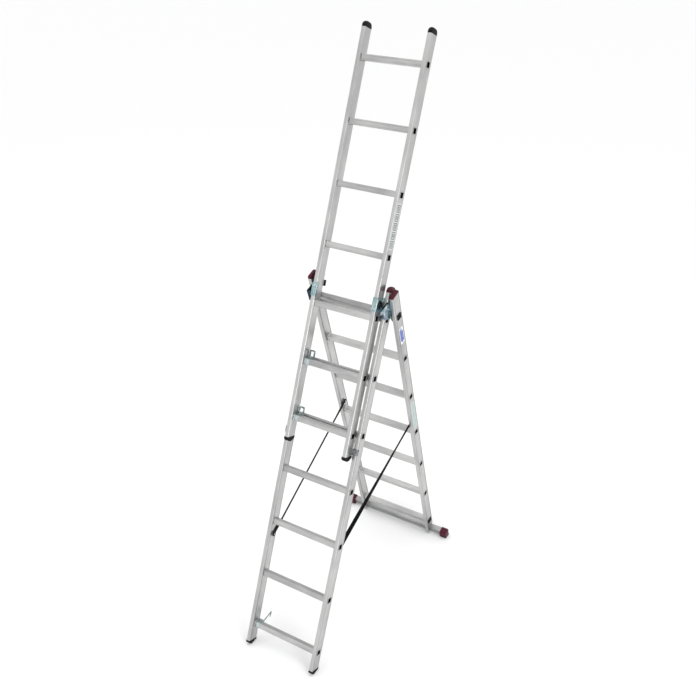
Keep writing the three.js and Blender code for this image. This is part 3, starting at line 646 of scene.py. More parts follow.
def box_tool(x0, x1, y0, y1, z0, z1):
    """A box to take out of a build."""
    tool = bmesh.new()
    bmesh.ops.create_cube(tool, size=1)
    bmesh.ops.scale(tool, vec=(x1 - x0, y1 - y0, z1 - z0), verts=tool.verts)
    bmesh.ops.translate(tool, vec=((x0 + x1) / 2, (y0 + y1) / 2, (z0 + z1) / 2), verts=tool.verts)
    return tool


TRAVERSE_DEPTH = 30
TRAVERSE_HEIGHT = 35
TRAVERSE_HALF_LENGTH = 292
TRAVERSE_TOP = -65
TRAVERSE_FRONT = -10
TRAVERSE_MIDDLE = (TRAVERSE_FRONT + TRAVERSE_DEPTH / 2, TRAVERSE_TOP - TRAVERSE_HEIGHT / 2)


def stiles(section):
    """Both stiles of a section, with a hole for each rung and, on the base, a notch for the bar."""
    outer = stile_outline(section is not top)
    bore = (STILE_WIDTH - 2 * STILE_WALL, STILE_DEPTH - 2 * STILE_WALL, STILE_BORE_CORNER)
    inner = bore_outline(outer, *bore)
    bottom, end = section.stile_bottom, section.stile_top
    stations = [
        (bottom, -SAWN_EDGE, SAWN_EDGE_INSIDE),
        (bottom + SAWN_EDGE, 0, 0),
        (end - SAWN_EDGE, 0, 0),
        (end, -SAWN_EDGE, SAWN_EDGE_INSIDE),
    ]
    low, high = section.half_width - STILE_WIDTH - OVERRUN, section.half_width + OVERRUN
    track_floor = STILE_WIDTH / 2 - TRACK_DEPTH
    for word, side in SIDES.items():
        build = Build()
        build.tube(moved(outer, section.stile_middle), moved(inner, section.stile_middle), stations, along_z)
        tools = [rung_hole(low, high, i * section.pitch) for i in range(RUNG_COUNT)]
        if section is base:
            front, top_z = TRAVERSE_FRONT - FIT, TRAVERSE_TOP + FIT
            tools.append(box_tool(low, high, front, STILE_DEPTH, bottom - NOTCH_OVERRUN, top_z))
        cut_out(build, tools)
        # The track floors take the dark second material, which paints the shade that lies down in each
        # track.
        for face in build.mesh.faces:
            heights = [abs(abs(v.co.x - section.stile_middle) - track_floor) for v in face.verts]
            face.material_index = int(max(heights) < TOUCHING)
        node = f"{section.name}_stile_{word}"
        build.done(
            "extruded_" + node, section, stile_metal, track_shade_metal,
            replaces=[node], mirror=side < 0, smooth=30,
        )


# ---- Rungs ---------------------------------------------------------------------------------------

TREAD_RIBS = 6
TREAD_RIB_HEIGHT = 0.9
RIB_SHOULDERS = (0.5, 0.62, 0.9)  # where a rib ends, and its valley begins and ends, in rib widths
GROOVE_DEEP = 0.5
GROOVE_SLOPE = 0.4
GROOVE_WIDE = 1.6
LOW_GROOVE = 6  # above the rung's underside
HIGH_GROOVE = 7.5  # below its tread
# A rung's swellings: (place across, growth outside, growth inside). The bead is pressed against the
# inside of the stile and the end is flared open over its outside.
BEAD = [(-9, 0, 0), (-5.5, 0.3, 0.2), (-3.2, 1.7, 1.2), (-1.2, 2.0, 1.4), (-0.4, 1.2, 0.6), (1, 0, 0)]
FLARE = [(-1.5, 0, 0), (0.15, 0.8, -0.7), (0.8, 1.8, -0.5), (0.6, 2.8, 0.1)]


def rung_outline():
    """A rounded square with a ribbed tread on top and a shallow groove near each edge of its sides."""
    y, z = RUNG_DEPTH / 2, RUNG_HEIGHT / 2
    grooves = []
    for low in (-z + LOW_GROOVE, z - HIGH_GROOVE):
        high = low + GROOVE_WIDE
        deep = y - GROOVE_DEEP
        grooves += [(y, low), (deep, low + GROOVE_SLOPE), (deep, high - GROOVE_SLOPE), (y, high)]
    span = RUNG_DEPTH - 2 * RUNG_CORNER
    pitch = span / TREAD_RIBS
    rib_end, valley_start, valley_end = RIB_SHOULDERS
    valley = z - TREAD_RIB_HEIGHT
    tread = []
    for i in range(TREAD_RIBS):
        start = span / 2 - i * pitch
        tread += [(start - pitch * rib_end, z), (start - pitch * valley_start, valley)]
        tread += [(start - pitch * valley_end, valley), (start - pitch, z)]
    front, back = (y, z, RUNG_CORNER - 1), (-y, z, RUNG_CORNER - 1)
    mirrored = [(-a, b) for a, b in reversed(grooves)]
    return walk([(y, -z, RUNG_CORNER), *grooves, front, *tread, back, *mirrored, (-y, -z, RUNG_CORNER)])


def rung_stations(half_width):
    """Where a rung swells, from its left end to its right: (place across, outside, inside)."""
    half = [(half_width - STILE_WIDTH + at, out, into) for at, out, into in BEAD]
    half += [(half_width + at, out, into) for at, out, into in FLARE]
    return [(-at, out, into) for at, out, into in reversed(half)] + [(0, 0, 0)] + half


def rungs(section):
    """The section's seven rungs, each a hollow bar held in both stiles by its bead and its flare."""
    outer = rung_outline()
    bore = (RUNG_DEPTH - 2 * RUNG_WALL, RUNG_HEIGHT - 2 * RUNG_WALL, RUNG_CORNER - RUNG_WALL)
    inner = bore_outline(outer, *bore)
    stations = rung_stations(section.half_width)
    for i in range(RUNG_COUNT):
        node = f"{section.name}_rung_{i + 1}"
        build = Build(grain_axis="x")
        build.tube(outer, inner, stations, along_x)
        bmesh.ops.translate(build.mesh, vec=(0, 0, i * section.pitch), verts=build.mesh.verts)
        # The bore faces take the near-black second material, painted shade inside the hollow rung.
        build.done(
            "ribbed_" + node, section, rung_metal, bore_shade_metal,
            replaces=[node], smooth=32,
        )


PLUG_OVERLAP = 1.7  # how far a plug's rim covers the rung's flared end
PLUG_THROAT_WALL = 2
PLUG_LENGTH = 12
PLUG_OFF = 0.9  # from the stile's face to the rim
# The plug's rim and the dimple in it: (distance out, growth).
PLUG_RIM = [(0, 0), (1.8, 0), (2.4, -0.7), (2.5, -2.4), (1.2, -3.4), (1.1, -8)]


def rung_plugs():
    """Black plugs that close the base section's top and lowest rungs, where the hinge and the bar are."""
    rim, wall = 2 * PLUG_OVERLAP, 2 * PLUG_THROAT_WALL
    outline = rounded_rectangle(RUNG_DEPTH + rim, RUNG_HEIGHT + rim, RUNG_CORNER)
    throat = rounded_rectangle(RUNG_DEPTH - wall, RUNG_HEIGHT - wall, RUNG_CORNER - PLUG_THROAT_WALL)
    start = base.half_width + PLUG_OFF
    for rung in (1, RUNG_COUNT):
        for word, side in SIDES.items():
            build = Build(grain_axis="x")
            build.bar(outline, [(start + at, out) for at, out in PLUG_RIM], along_x)
            build.bar(throat, [(start - PLUG_LENGTH, 0), (start + 0.5, 0)], along_x)
            bmesh.ops.translate(build.mesh, vec=(0, 0, (rung - 1) * base.pitch), verts=build.mesh.verts)
            name = f"rung_{rung}_plug_{word}"
            build.done(name, base, black_plastic, mirror=side < 0)


# ---- Caps and feet -------------------------------------------------------------------------------


CAP_SKIRT = 3.2
CAP_EASE = 0.5  # the small round at the skirt's lower edge
CAP_STEP = 0.45  # how far the dome stands in from the skirt
CAP_SEAM = 0.1
DOME_STEPS = 12
DOME_TAPER = 0.74  # under 1 makes the dome fuller front to back than half an ellipse
DOME_SIDE_POWER = 5
CROWN_HALF_DEPTH = 3.2
CROWN_HALF_THICK = 2.4
CORNER_SHARE = 0.8
# The plug of a cap or a foot that fills the stile's end, and its tapered lead.
SPIGOT_OUTLINE = rounded_rectangle(STILE_WIDTH - 4, STILE_DEPTH - 4, STILE_CORNER - STILE_WALL)
SPIGOT_LENGTH = 20
SPIGOT_LEAD = 2
SPIGOT_TAPER = -0.8


def dome_rings(build, centre_x, start, height, proud):
    """A dome on a stile's end: half an ellipse front to back, with rounder, steeper sides."""
    half_depth = STILE_DEPTH / 2 + proud
    half_thick = STILE_WIDTH / 2 + proud
    rings = []
    for i in range(DOME_STEPS + 1):
        turn = i / DOME_STEPS * math.pi / 2
        rise = math.sin(turn)
        at_crown = i == DOME_STEPS
        depth = CROWN_HALF_DEPTH if at_crown else half_depth * math.cos(turn) ** DOME_TAPER
        thick = CROWN_HALF_THICK if at_crown else half_thick * (1 - rise**DOME_SIDE_POWER) ** 0.5
        depth, thick = max(depth, CROWN_HALF_DEPTH), max(thick, CROWN_HALF_THICK)
        radius = min(STILE_CORNER + proud, depth * CORNER_SHARE, thick * CORNER_SHARE)
        outline = moved(rounded_rectangle(2 * thick, 2 * depth, radius), centre_x)
        rings.append(build.ring((x, y, start + rise * height) for x, y in outline))
    return rings


def caps(section, material):
    """A push-in cap with a skirt that stands proud of the stile and a dome above it."""
    start = section.stile_top + FIT
    shoulder = start + CAP_SKIRT
    skirt = [(start, -CAP_EASE), (start + CAP_EASE, 0), (shoulder - CAP_EASE, 0), (shoulder, -CAP_STEP)]
    size = (STILE_WIDTH + 2 * CAP_PROUD, STILE_DEPTH + 2 * CAP_PROUD, STILE_CORNER + CAP_PROUD)
    placed = moved(rounded_rectangle(*size), section.stile_middle)
    dome_height = CAP_HEIGHT[section.name] - CAP_SKIRT - CAP_SEAM
    lead = [(start - SPIGOT_LENGTH - SPIGOT_LEAD, SPIGOT_TAPER), (start - SPIGOT_LENGTH, 0), (start, 0)]
    for word, side in SIDES.items():
        build = Build()
        rings = [build.ring(along_z(p, at) for p in grown(placed, out)) for at, out in skirt]
        dome = (section.stile_middle, shoulder + CAP_SEAM, dome_height, CAP_PROUD - CAP_STEP)
        build.solid(rings + dome_rings(build, *dome))
        build.bar(moved(SPIGOT_OUTLINE, section.stile_middle), lead, along_z)
        node = f"{section.name}_cap_{word}"
        build.done(
            "domed_" + node, section, material, replaces=[node], mirror=side < 0, smooth=50
        )


FOOT_RIBS = 9
FOOT_RIB_DEPTH = 1.3
FOOT_STEPS = 4  # points from one rib to the next, of which the last two are the groove
FOOT_COLLAR = {"middle": 2.5, "top": 5}  # how far the rubber reaches up round the stile's end


def foot_profile(bottom, collar):
    """The foot's side view: an arc of ribbed sole under a collar that grips the stile's end."""
    half_depth = STILE_DEPTH / 2 + CAP_PROUD
    sag = FOOT_HEIGHT - FOOT_EDGE_HEIGHT
    radius = (half_depth**2 + sag**2) / (2 * sag)
    half = math.asin(half_depth / radius)
    top_z = bottom - FIT
    points = [(half_depth, top_z + collar), (-half_depth, top_z + collar)]
    count = FOOT_RIBS * FOOT_STEPS
    for i in range(count + 1):
        angle = -half + 2 * half * i / count
        grooved = i % FOOT_STEPS >= 2 and 2 < i < count - 2
        reach = radius - FOOT_RIB_DEPTH if grooved else radius
        points.append((reach * math.sin(angle), top_z - FOOT_HEIGHT + radius - reach * math.cos(angle)))
    return points


def feet(section):
    """Rubber feet. The middle section's soles are worn level with the floor that they stand on."""
    half = STILE_WIDTH / 2 + CAP_PROUD
    profile = foot_profile(section.stile_bottom, FOOT_COLLAR[section.name])
    bottom = section.stile_bottom - FIT - 0.4
    end = section.stile_bottom + SPIGOT_LENGTH
    for word, side in SIDES.items():
        build = Build(grain_axis="x")
        build.bar(profile, [(section.stile_middle - half, 0), (section.stile_middle + half, 0)], along_x)
        if section is middle:
            build.cut_off(*section.floor())
        spigot = moved(SPIGOT_OUTLINE, section.stile_middle)
        build.bar(spigot, [(bottom, 0), (end, 0), (end + SPIGOT_LEAD, SPIGOT_TAPER)], along_z)
        node = f"{section.name}_foot_{word}"
        build.done(
            "ribbed_" + node, section, black_rubber,
            replaces=[node], mirror=side < 0, bevel=0.45,
        )


# ---- Stabiliser bar ------------------------------------------------------------------------------


FLUTE_WIDTH = 2.4
FLUTE_DEPTH = 0.9
FLUTE_SLOPE = 0.4
FLUTES = 3
BAR_CORNER = 1.6
BAR_WALL = 2.5
BAR_BORE_CORNER = 1.0


def fluted(start, end, inward):
    """The flutes along one side of the bar."""
    run = end - start
    step = run.normalized()
    sink = inward * FLUTE_DEPTH
    points = []
    for k in range(FLUTES):
        at = start + run * (k + 1) / (FLUTES + 1)
        a, b = at - step * FLUTE_WIDTH / 2, at + step * FLUTE_WIDTH / 2
        points += [a, a + sink + step * FLUTE_SLOPE, b + sink - step * FLUTE_SLOPE, b]
    return [tuple(point) for point in points]


def bar_outline():
    """The bar's section: a rounded box with flutes along its front, top, back and underside."""
    y, z = TRAVERSE_DEPTH / 2, TRAVERSE_HEIGHT / 2
    corners = [Vector(c) for c in ((y, -z), (y, z), (-y, z), (-y, -z))]
    inward = [Vector(c) for c in ((-1, 0), (0, -1), (1, 0), (0, 1))]
    points = []
    for i, corner in enumerate(corners):
        points.append((*corner, BAR_CORNER))
        points += fluted(corner, corners[(i + 1) % len(corners)], inward[i])
    return walk(points)


def stabiliser_bar():
    """The hollow bar across the base section's feet."""
    build = Build(grain_axis="x")
    outer = bar_outline()
    bore = (TRAVERSE_DEPTH - 2 * BAR_WALL, TRAVERSE_HEIGHT - 2 * BAR_WALL, BAR_BORE_CORNER)
    inner = bore_outline(outer, *bore)
    half = TRAVERSE_HALF_LENGTH
    build.tube(outer, inner, [(-half, 0, 0), (-half + 1, 0, 0), (half - 1, 0, 0), (half, 0, 0)], along_x)
    bmesh.ops.translate(build.mesh, vec=(0, *TRAVERSE_MIDDLE), verts=build.mesh.verts)
    build.done("fluted_traverse", base, bar_metal, replaces=["traverse"], smooth=30)


END_CAP_ABOVE = 4  # how far an end cap stands out over the bar, before it and behind it
END_CAP_BEFORE = 9
END_CAP_BEHIND = 4
END_CAP_CORNER = 6
END_CAP_DRAWN = 150  # it is drawn this deep, past the floor, and then cut off level
PAD_HEIGHT = 9
PAD_PROUD = 0.7
PAD_LAP = 0.8
END_CAP_SPIGOT = 22


def bar_end_caps():
    """Maroon caps on the bar, each with a black rubber pad that takes the load on the floor."""
    front = TRAVERSE_FRONT - END_CAP_BEFORE
    back = TRAVERSE_FRONT + TRAVERSE_DEPTH + END_CAP_BEHIND
    middle_z = TRAVERSE_TOP + END_CAP_ABOVE - END_CAP_DRAWN / 2
    outline = rounded_rectangle(back - front, END_CAP_DRAWN, END_CAP_CORNER)
    outline = moved(outline, (front + back) / 2, middle_z)
    spigot = moved(rounded_rectangle(TRAVERSE_DEPTH - 6, TRAVERSE_HEIGHT - 6, 1.5), *TRAVERSE_MIDDLE)
    floor_place, upward = base.floor()
    start = TRAVERSE_HALF_LENGTH + FIT
    for word, side in SIDES.items():
        node = "traverse_end_cap_" + word
        low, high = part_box(node)
        end = high.x / MM if side > 0 else -low.x / MM
        body = Build(grain_axis="x")
        ends = [(start, -1.2), (start + 1.2, 0), (end - 3, 0), (end - 1.2, -0.8), (end, -3)]
        body.bar(outline, ends, along_x)
        body.cut_off(floor_place + upward * (PAD_HEIGHT - PAD_LAP), upward)
        body.bar(spigot, [(start - END_CAP_SPIGOT, 0), (start + 0.6, 0)], along_x)
        body.done(
            "end_cap_body_" + word, base, maroon_plastic,
            replaces=[node], mirror=side < 0, bevel=0.6,
        )
        pad = Build(grain_axis="x")
        ends = [(start + 1, -0.8), (start + 1.8, PAD_PROUD), (end - 1.4, PAD_PROUD), (end - 0.6, -0.6)]
        pad.bar(outline, ends, along_x)
        pad.cut_off(floor_place, upward)
        pad.cut_off(floor_place + upward * PAD_HEIGHT, upward, keep_above=False)
        pad.done(
            "end_cap_pad_" + word, base, black_rubber, mirror=side < 0, bevel=0.6
        )


# ---- Fasteners -----------------------------------------------------------------------------------


RIVET_EDGE = 0.25  # the share of a rivet head's height below its dome
DOME_RINGS = 6


def rivet(name, section, at, out, side, radius=3.2, height=1.5):
    """A domed rivet head at a point, standing out to the right (1) or to the left (-1)."""
    build = Build()
    profile = [(radius, 0), (radius, RIVET_EDGE * height)]
    for i in range(1, DOME_RINGS):
        angle = i / DOME_RINGS * math.pi / 2
        share = RIVET_EDGE + (1 - RIVET_EDGE) * math.sin(angle)
        profile.append((radius * math.cos(angle), height * share))
    profile.append((0.2, height))
    build.spun([(r, out * a) for r, a in profile], at)
    build.done(name, section, bright_zinc, mirror=side < 0, smooth=60)


BOLT_FLATS = 8
BOLT_HEIGHT = 3.5
WASHER_RADIUS = 6
WASHER_SHEET = 1.4


def hexagon_bolt(name, section, at, side):
    """A hexagon head on a plain washer, on the outside of a stile."""
    build = Build()
    x, y, z = at
    washer = [(WASHER_RADIUS, 0), (WASHER_RADIUS, WASHER_SHEET - 0.3), (WASHER_RADIUS - 0.4, WASHER_SHEET)]
    build.spun(washer, at, 28)
    corner = BOLT_FLATS / math.sqrt(3)
    angles = [k * math.pi / 3 for k in range(6)]
    hexagon = moved([(corner * math.cos(a), corner * math.sin(a)) for a in angles], y, z)
    stations = [(x + 1.3, 0), (x + BOLT_HEIGHT + 0.7, 0), (x + BOLT_HEIGHT + 1.3, -1.2)]
    build.bar(hexagon, stations, along_x)
    build.done(name, section, bright_zinc, mirror=side < 0, smooth=30)


# Where rivets sit: (front to back, above the hinge line).
HINGE_PLATE_RIVETS = [(9, -40), (9, 30), (9, 62)]
HINGE_SHOE_RIVETS = [(-16, -10), (-16, 16)]
PLATE_RIVET_INSIDE = 3.3
STILE_TOP_RIVET = (-12, -18)  # behind the stile's middle, below its end
CLASP_RIVET_Y = 6
CLASP_RIVET_FROM_END = 14
TRAVERSE_BOLT_Y = -21
TRAVERSE_BOLT_ABOVE_MIDDLE = 2


def fasteners():
    """The heads of the rivets and bolts that hold the fittings to the stiles."""
    hinge_z = base.top_rung + HINGE_ABOVE_TOP_RUNG
    clasp_low = middle.top_rung + CLASP_ABOVE_TOP_RUNG
    outside, shoe = base.half_width, middle.half_width + FIT + PLATE
    plate_inside = outside - STILE_WIDTH - PLATE_RIVET_INSIDE
    clasp_inside = middle.half_width - STILE_WIDTH - FIT - PLATE
    for word, side in SIDES.items():
        for i, (y, z) in enumerate(HINGE_PLATE_RIVETS):
            tail = f"{i + 1}_{word}"
            rivet("hinge_plate_rivet_" + tail, base, (outside, y, hinge_z + z), 1, side)
            rivet("hinge_plate_rivet_head_" + tail, base, (plate_inside, y, hinge_z + z), -1, side)
        for i, (y, z) in enumerate(HINGE_SHOE_RIVETS):
            name = f"hinge_shoe_rivet_{i + 1}_{word}"
            rivet(name, middle, (shoe, y, hinge_z + z), 1, side, height=1.3)
        y, z = STILE_TOP_RIVET
        place = (middle.half_width, y, middle.stile_top + z)
        rivet("stile_top_rivet_" + word, middle, place, 1, side, radius=2.6)
        for i, z in enumerate([CLASP_RIVET_FROM_END, CLASP_HEIGHT - CLASP_RIVET_FROM_END]):
            name = f"guide_clasp_rivet_{i + 1}_{word}"
            rivet(name, middle, (clasp_inside, CLASP_RIVET_Y, clasp_low + z), -1, side, height=1.3)
        bolt_z = TRAVERSE_MIDDLE[1] + TRAVERSE_BOLT_ABOVE_MIDDLE
        hexagon_bolt("traverse_bolt_" + word, base, (outside, TRAVERSE_BOLT_Y, bolt_z), side)


# The plated fittings of the frame, with the width of their broken edges.
PAIRED_FITTINGS = {
    "guide_clasp": (blue_zinc, 0.5),
    "hinge_shoe": (steel_blue, 0.5),
    # The hinge plates take the dark zinc, painted shade from the gap that they sit in.
    "hinge_plate": (shaded_zinc, 0.6),
    "slide_shoe": (grey_steel, 0.4),
    "base_strap_anchor": (bright_zinc, 0.5),
    "middle_strap_anchor": (bright_zinc, 0.5),
}
SINGLE_FITTINGS = {
    "transport_hook": (green_zinc, 0.4),
    "rung_latch_saddle_1": (bright_zinc, 0.3),
    "rung_latch_saddle_2": (bright_zinc, 0.3),
    "transport_hook_saddle": (bright_zinc, 0.3),
}
WELD = 0.02
BROKEN_EDGE_ANGLE = 35


def cad_fittings():
    """The pressed and plated fittings keep the shape of the frame, with their edges broken."""
    looks = dict(SINGLE_FITTINGS)
    for name, look in PAIRED_FITTINGS.items():
        looks.update({f"{name}_{word}": look for word in SIDES})
    for name, (material, edge) in looks.items():
        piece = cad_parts[name]
        piece.data.materials.clear()
        piece.data.materials.append(material)
        weld = piece.modifiers.new("weld", "WELD")
        weld.merge_threshold = WELD * MM
        broken = piece.modifiers.new("broken_edges", "BEVEL")
        broken.width = edge * MM
        broken.segments = 2
        broken.limit_method = "ANGLE"
        broken.angle_limit = math.radians(BROKEN_EDGE_ANGLE)
        broken.harden_normals = True
        piece.data.shade_smooth()


def local_box(node, section):
    """A CAD node's lowest and highest corners in a section's millimetres."""
    points = [section.local(v.co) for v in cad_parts[node].data.vertices]
    return [Vector(pick(p[i] for p in points) for i in range(3)) for pick in (min, max)]


CHEEK_SHEET = 1.8
SHADE_LINER_THICK = 6
# Outlines seen from the right: (front to back, above the hinge line, corner radius).
CHEEK = [(-32, -24, 6), (-18, -22, 6), (12, 4, 4), (12, 26, 4), (-8, 50, 6), (-35, 56, 5), (-76, 25, 5)]
# The liner's outline covers the dark triangle inside the cheek's upper half: its black is painted shade for
# that hollow.
CHEEK_SHADE_LINER = [(-32.5, 23, 1), (-32.5, 57, 1), (-36, 60, 3), (-73, 27, 3)]
CHEEK_RIVETS = [(-22, 30), (-22, -6), (2, 16)]


def hinge_cheeks():
    """A steel cheek outside each hinge shoe, with a nose that stands out in front of the stile, and a black
    plastic liner inside it, set where the hollow behind the cheek lies in deep shade, so that its black is
    painted shade."""
    hinge_z = middle.top_rung + HINGE_ABOVE_TOP_RUNG
    start = local_box("hinge_shoe_right", middle)[1].x + 0.05
    face = start + CHEEK_SHEET
    for word, side in SIDES.items():
        cheek = Build(grain_axis="x")
        cheek.bar(moved(walk(CHEEK), 0, hinge_z), [(start, 0), (face, 0)], along_x)
        cheek.done(
            "hinge_cheek_" + word, middle, steel_blue, mirror=side < 0, bevel=0.5
        )
        liner = Build(grain_axis="x")
        stations = [(start - SHADE_LINER_THICK, 0), (start - 0.02, 0)]
        liner.bar(moved(walk(CHEEK_SHADE_LINER), 0, hinge_z), stations, along_x)
        liner.done(
            "hinge_cheek_liner_" + word, middle, black_plastic,
            mirror=side < 0, bevel=0.4,
        )
        for i, (y, z) in enumerate(CHEEK_RIVETS):
            name = f"hinge_cheek_rivet_{i + 1}_{word}"
            rivet(name, middle, (face, y, hinge_z + z), 1, side, radius=3.4, height=1.2)


LOOP_BAR = 6.5  # the width of the flat steel that a latch is made of
LOOP_CORNER = 7
LOOP_INSIDE_CORNER = 4
LOOP_EDGE = 0.6
LOOP_STEPS = 6


def latch_loops():
    """Each rung latch is a closed loop of flat steel, hung from its saddle."""
    for i in (1, 2):
        node = f"rung_latch_{i}"
        low, high = local_box(node, top)
        centre = (low + high) / 2
        width, height = high.x - low.x, high.z - low.z
        outer = rounded_rectangle(width, height, LOOP_CORNER, LOOP_STEPS)
        inside = (width - 2 * LOOP_BAR, height - 2 * LOOP_BAR, LOOP_INSIDE_CORNER)
        inner = rounded_rectangle(*inside, LOOP_STEPS)

        def along_y(point, at, centre=centre):
            return (point[0] + centre.x, centre.y + at, point[1] + centre.z)

        half = (high.y - low.y) / 2
        inset = half - LOOP_EDGE
        edge = (-LOOP_EDGE, LOOP_EDGE)
        stations = [(-half, *edge), (-inset, 0, 0), (inset, 0, 0), (half, *edge)]
        build = Build()
        build.tube(outer, inner, stations, along_y)
        build.done("loop_" + node, top, green_zinc, body=node, replaces=[node])


WINDOW_FROM_STILE = 16  # the clasp's window, in front of the middle section's stile
WINDOW_WIDTH = 22
WINDOW_HEIGHT = 40
WINDOW_FIT = 0.2
WINDOW_RIM = 2.56
WINDOW_CORNER = 2.0
CLASP_FIT = 0.6
BLOCK = [(-1.5, -4, 1.0), (4, -4, 1.5), (8, 4, 1.5), (-1.5, 4, 1)]
BLOCK_BEHIND_STILE = 5.2
BLOCK_BELOW_CLASP_END = 16
BLOCK_ABOVE_CLASP_END = 12
BLOCK_EDGE = 0.6


def guide_pads():
    """Black plastic liners in each clasp, round its window, and a block behind the top stile."""
    clasp_low = middle.top_rung + CLASP_ABOVE_TOP_RUNG
    clasp_high = clasp_low + CLASP_HEIGHT
    window_end = -STILE_DEPTH / 2 - WINDOW_FROM_STILE
    window_middle = (window_end - WINDOW_WIDTH / 2, clasp_low + CLASP_HEIGHT / 2)
    size = (WINDOW_WIDTH - 2 * WINDOW_FIT, WINDOW_HEIGHT - 2 * WINDOW_FIT, WINDOW_CORNER)
    outer = rounded_rectangle(*size)
    inner = grown(outer, -WINDOW_RIM)
    clasp_inside = top.half_width + CLASP_FIT
    through = [(clasp_inside + 0.15, 0, 0), (clasp_inside + PLATE + 0.9, 0, 0)]
    behind = STILE_DEPTH / 2 - PLANE_STEP + BLOCK_BEHIND_STILE
    stile_inside = top.half_width - STILE_WIDTH
    block = [(stile_inside - a, b + behind) for a, b in walk(BLOCK)]
    low, high = clasp_high - BLOCK_BELOW_CLASP_END, clasp_high + BLOCK_ABOVE_CLASP_END
    stations = [(low, -BLOCK_EDGE), (low + BLOCK_EDGE, 0), (high - BLOCK_EDGE, 0), (high, -BLOCK_EDGE)]
    for word, side in SIDES.items():
        liner = Build()
        liner.tube(moved(outer, *window_middle), moved(inner, *window_middle), through, along_x)
        liner.done(
            "clasp_window_liner_" + word, middle, black_plastic,
            mirror=side < 0, bevel=0.3,
        )
        pad = Build()
        pad.bar(block, stations, along_z)
        pad.done(
            "guide_block_" + word, middle, black_plastic, mirror=side < 0, smooth=40
        )


# ---- Straps --------------------------------------------------------------------------------------

STRAP_WIDTH = 22
STRAP_THICKNESS = 1.6
EYE_RADIUS = 11.5
EYE_HOLE = 6.4
EYE_SIDES = 28
EYE_CROWN = 0.3
EYE_LAP = 1.5  # how far the strap's end stays clear of the hole
EYE_OFF_STILE = 3.4
STRAP_EDGE = 0.5
STRAP_CORDS = (-7, -3.5, 0, 3.5, 7)
STRAP_STEPS = 110
NARROW_RUN = 16  # the strap narrows towards each eye over this length
NARROW_SHARE = 0.62
BLEND_START = 26  # the strap follows each leg for this far from its eye
# how far from each eye the strap was to follow its leg: the ends worked out from it in straps() are not
# used, and the strap runs straight
TWIST = {
    "right": [(0, 0), (0.03, 0), (0.1, 50), (0.25, 40), (0.5, 15), (0.67, 3), (0.84, -5), (0.95, 0), (1, 0)],
    "left": [(0, 0), (0.05, 0), (0.14, 8), (0.84, 8), (0.95, 0), (1, 0)],
}
# Half a section through the washer over an eye: (radius, distance from the anchor's face).
WASHER = [(5.9, 1.6), (11.5, 1.6), (12.3, 0.9), (12.0, 0.1), (9.5, -0.4), (5.9, -0.4)]


def strap_twist(share, word):
    """The strap lies flat on a stile at each end and turns over between them."""
    stops = TWIST[word]
    for (a, low), (b, high) in zip(stops, stops[1:]):
        if share <= b:
            t = (share - a) / (b - a)
            return low + (high - low) * t * t * (3 - 2 * t)
    return stops[-1][1]


def strap_washers():
    """A black washer over each eye of a strap, with the bright head of its bolt in the middle."""
    for section in (base, middle):
        for word, side in SIDES.items():
            node = f"{section.name}_strap_anchor_{word}"
            low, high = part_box(node)
            inner = abs(low.x if side > 0 else high.x) / MM
            centre = section.local(middle_of(node))
            build = Build()
            build.spun(WASHER, (inner, centre.y, centre.z), 32)
            tail = f"{section.name}_{word}"
            build.done("strap_washer_" + tail, section, black_plastic, mirror=side < 0)
            head = (inner - 0.4, centre.y, centre.z)
            rivet("strap_bolt_head_" + tail, section, head, -1, side, radius=4.2)


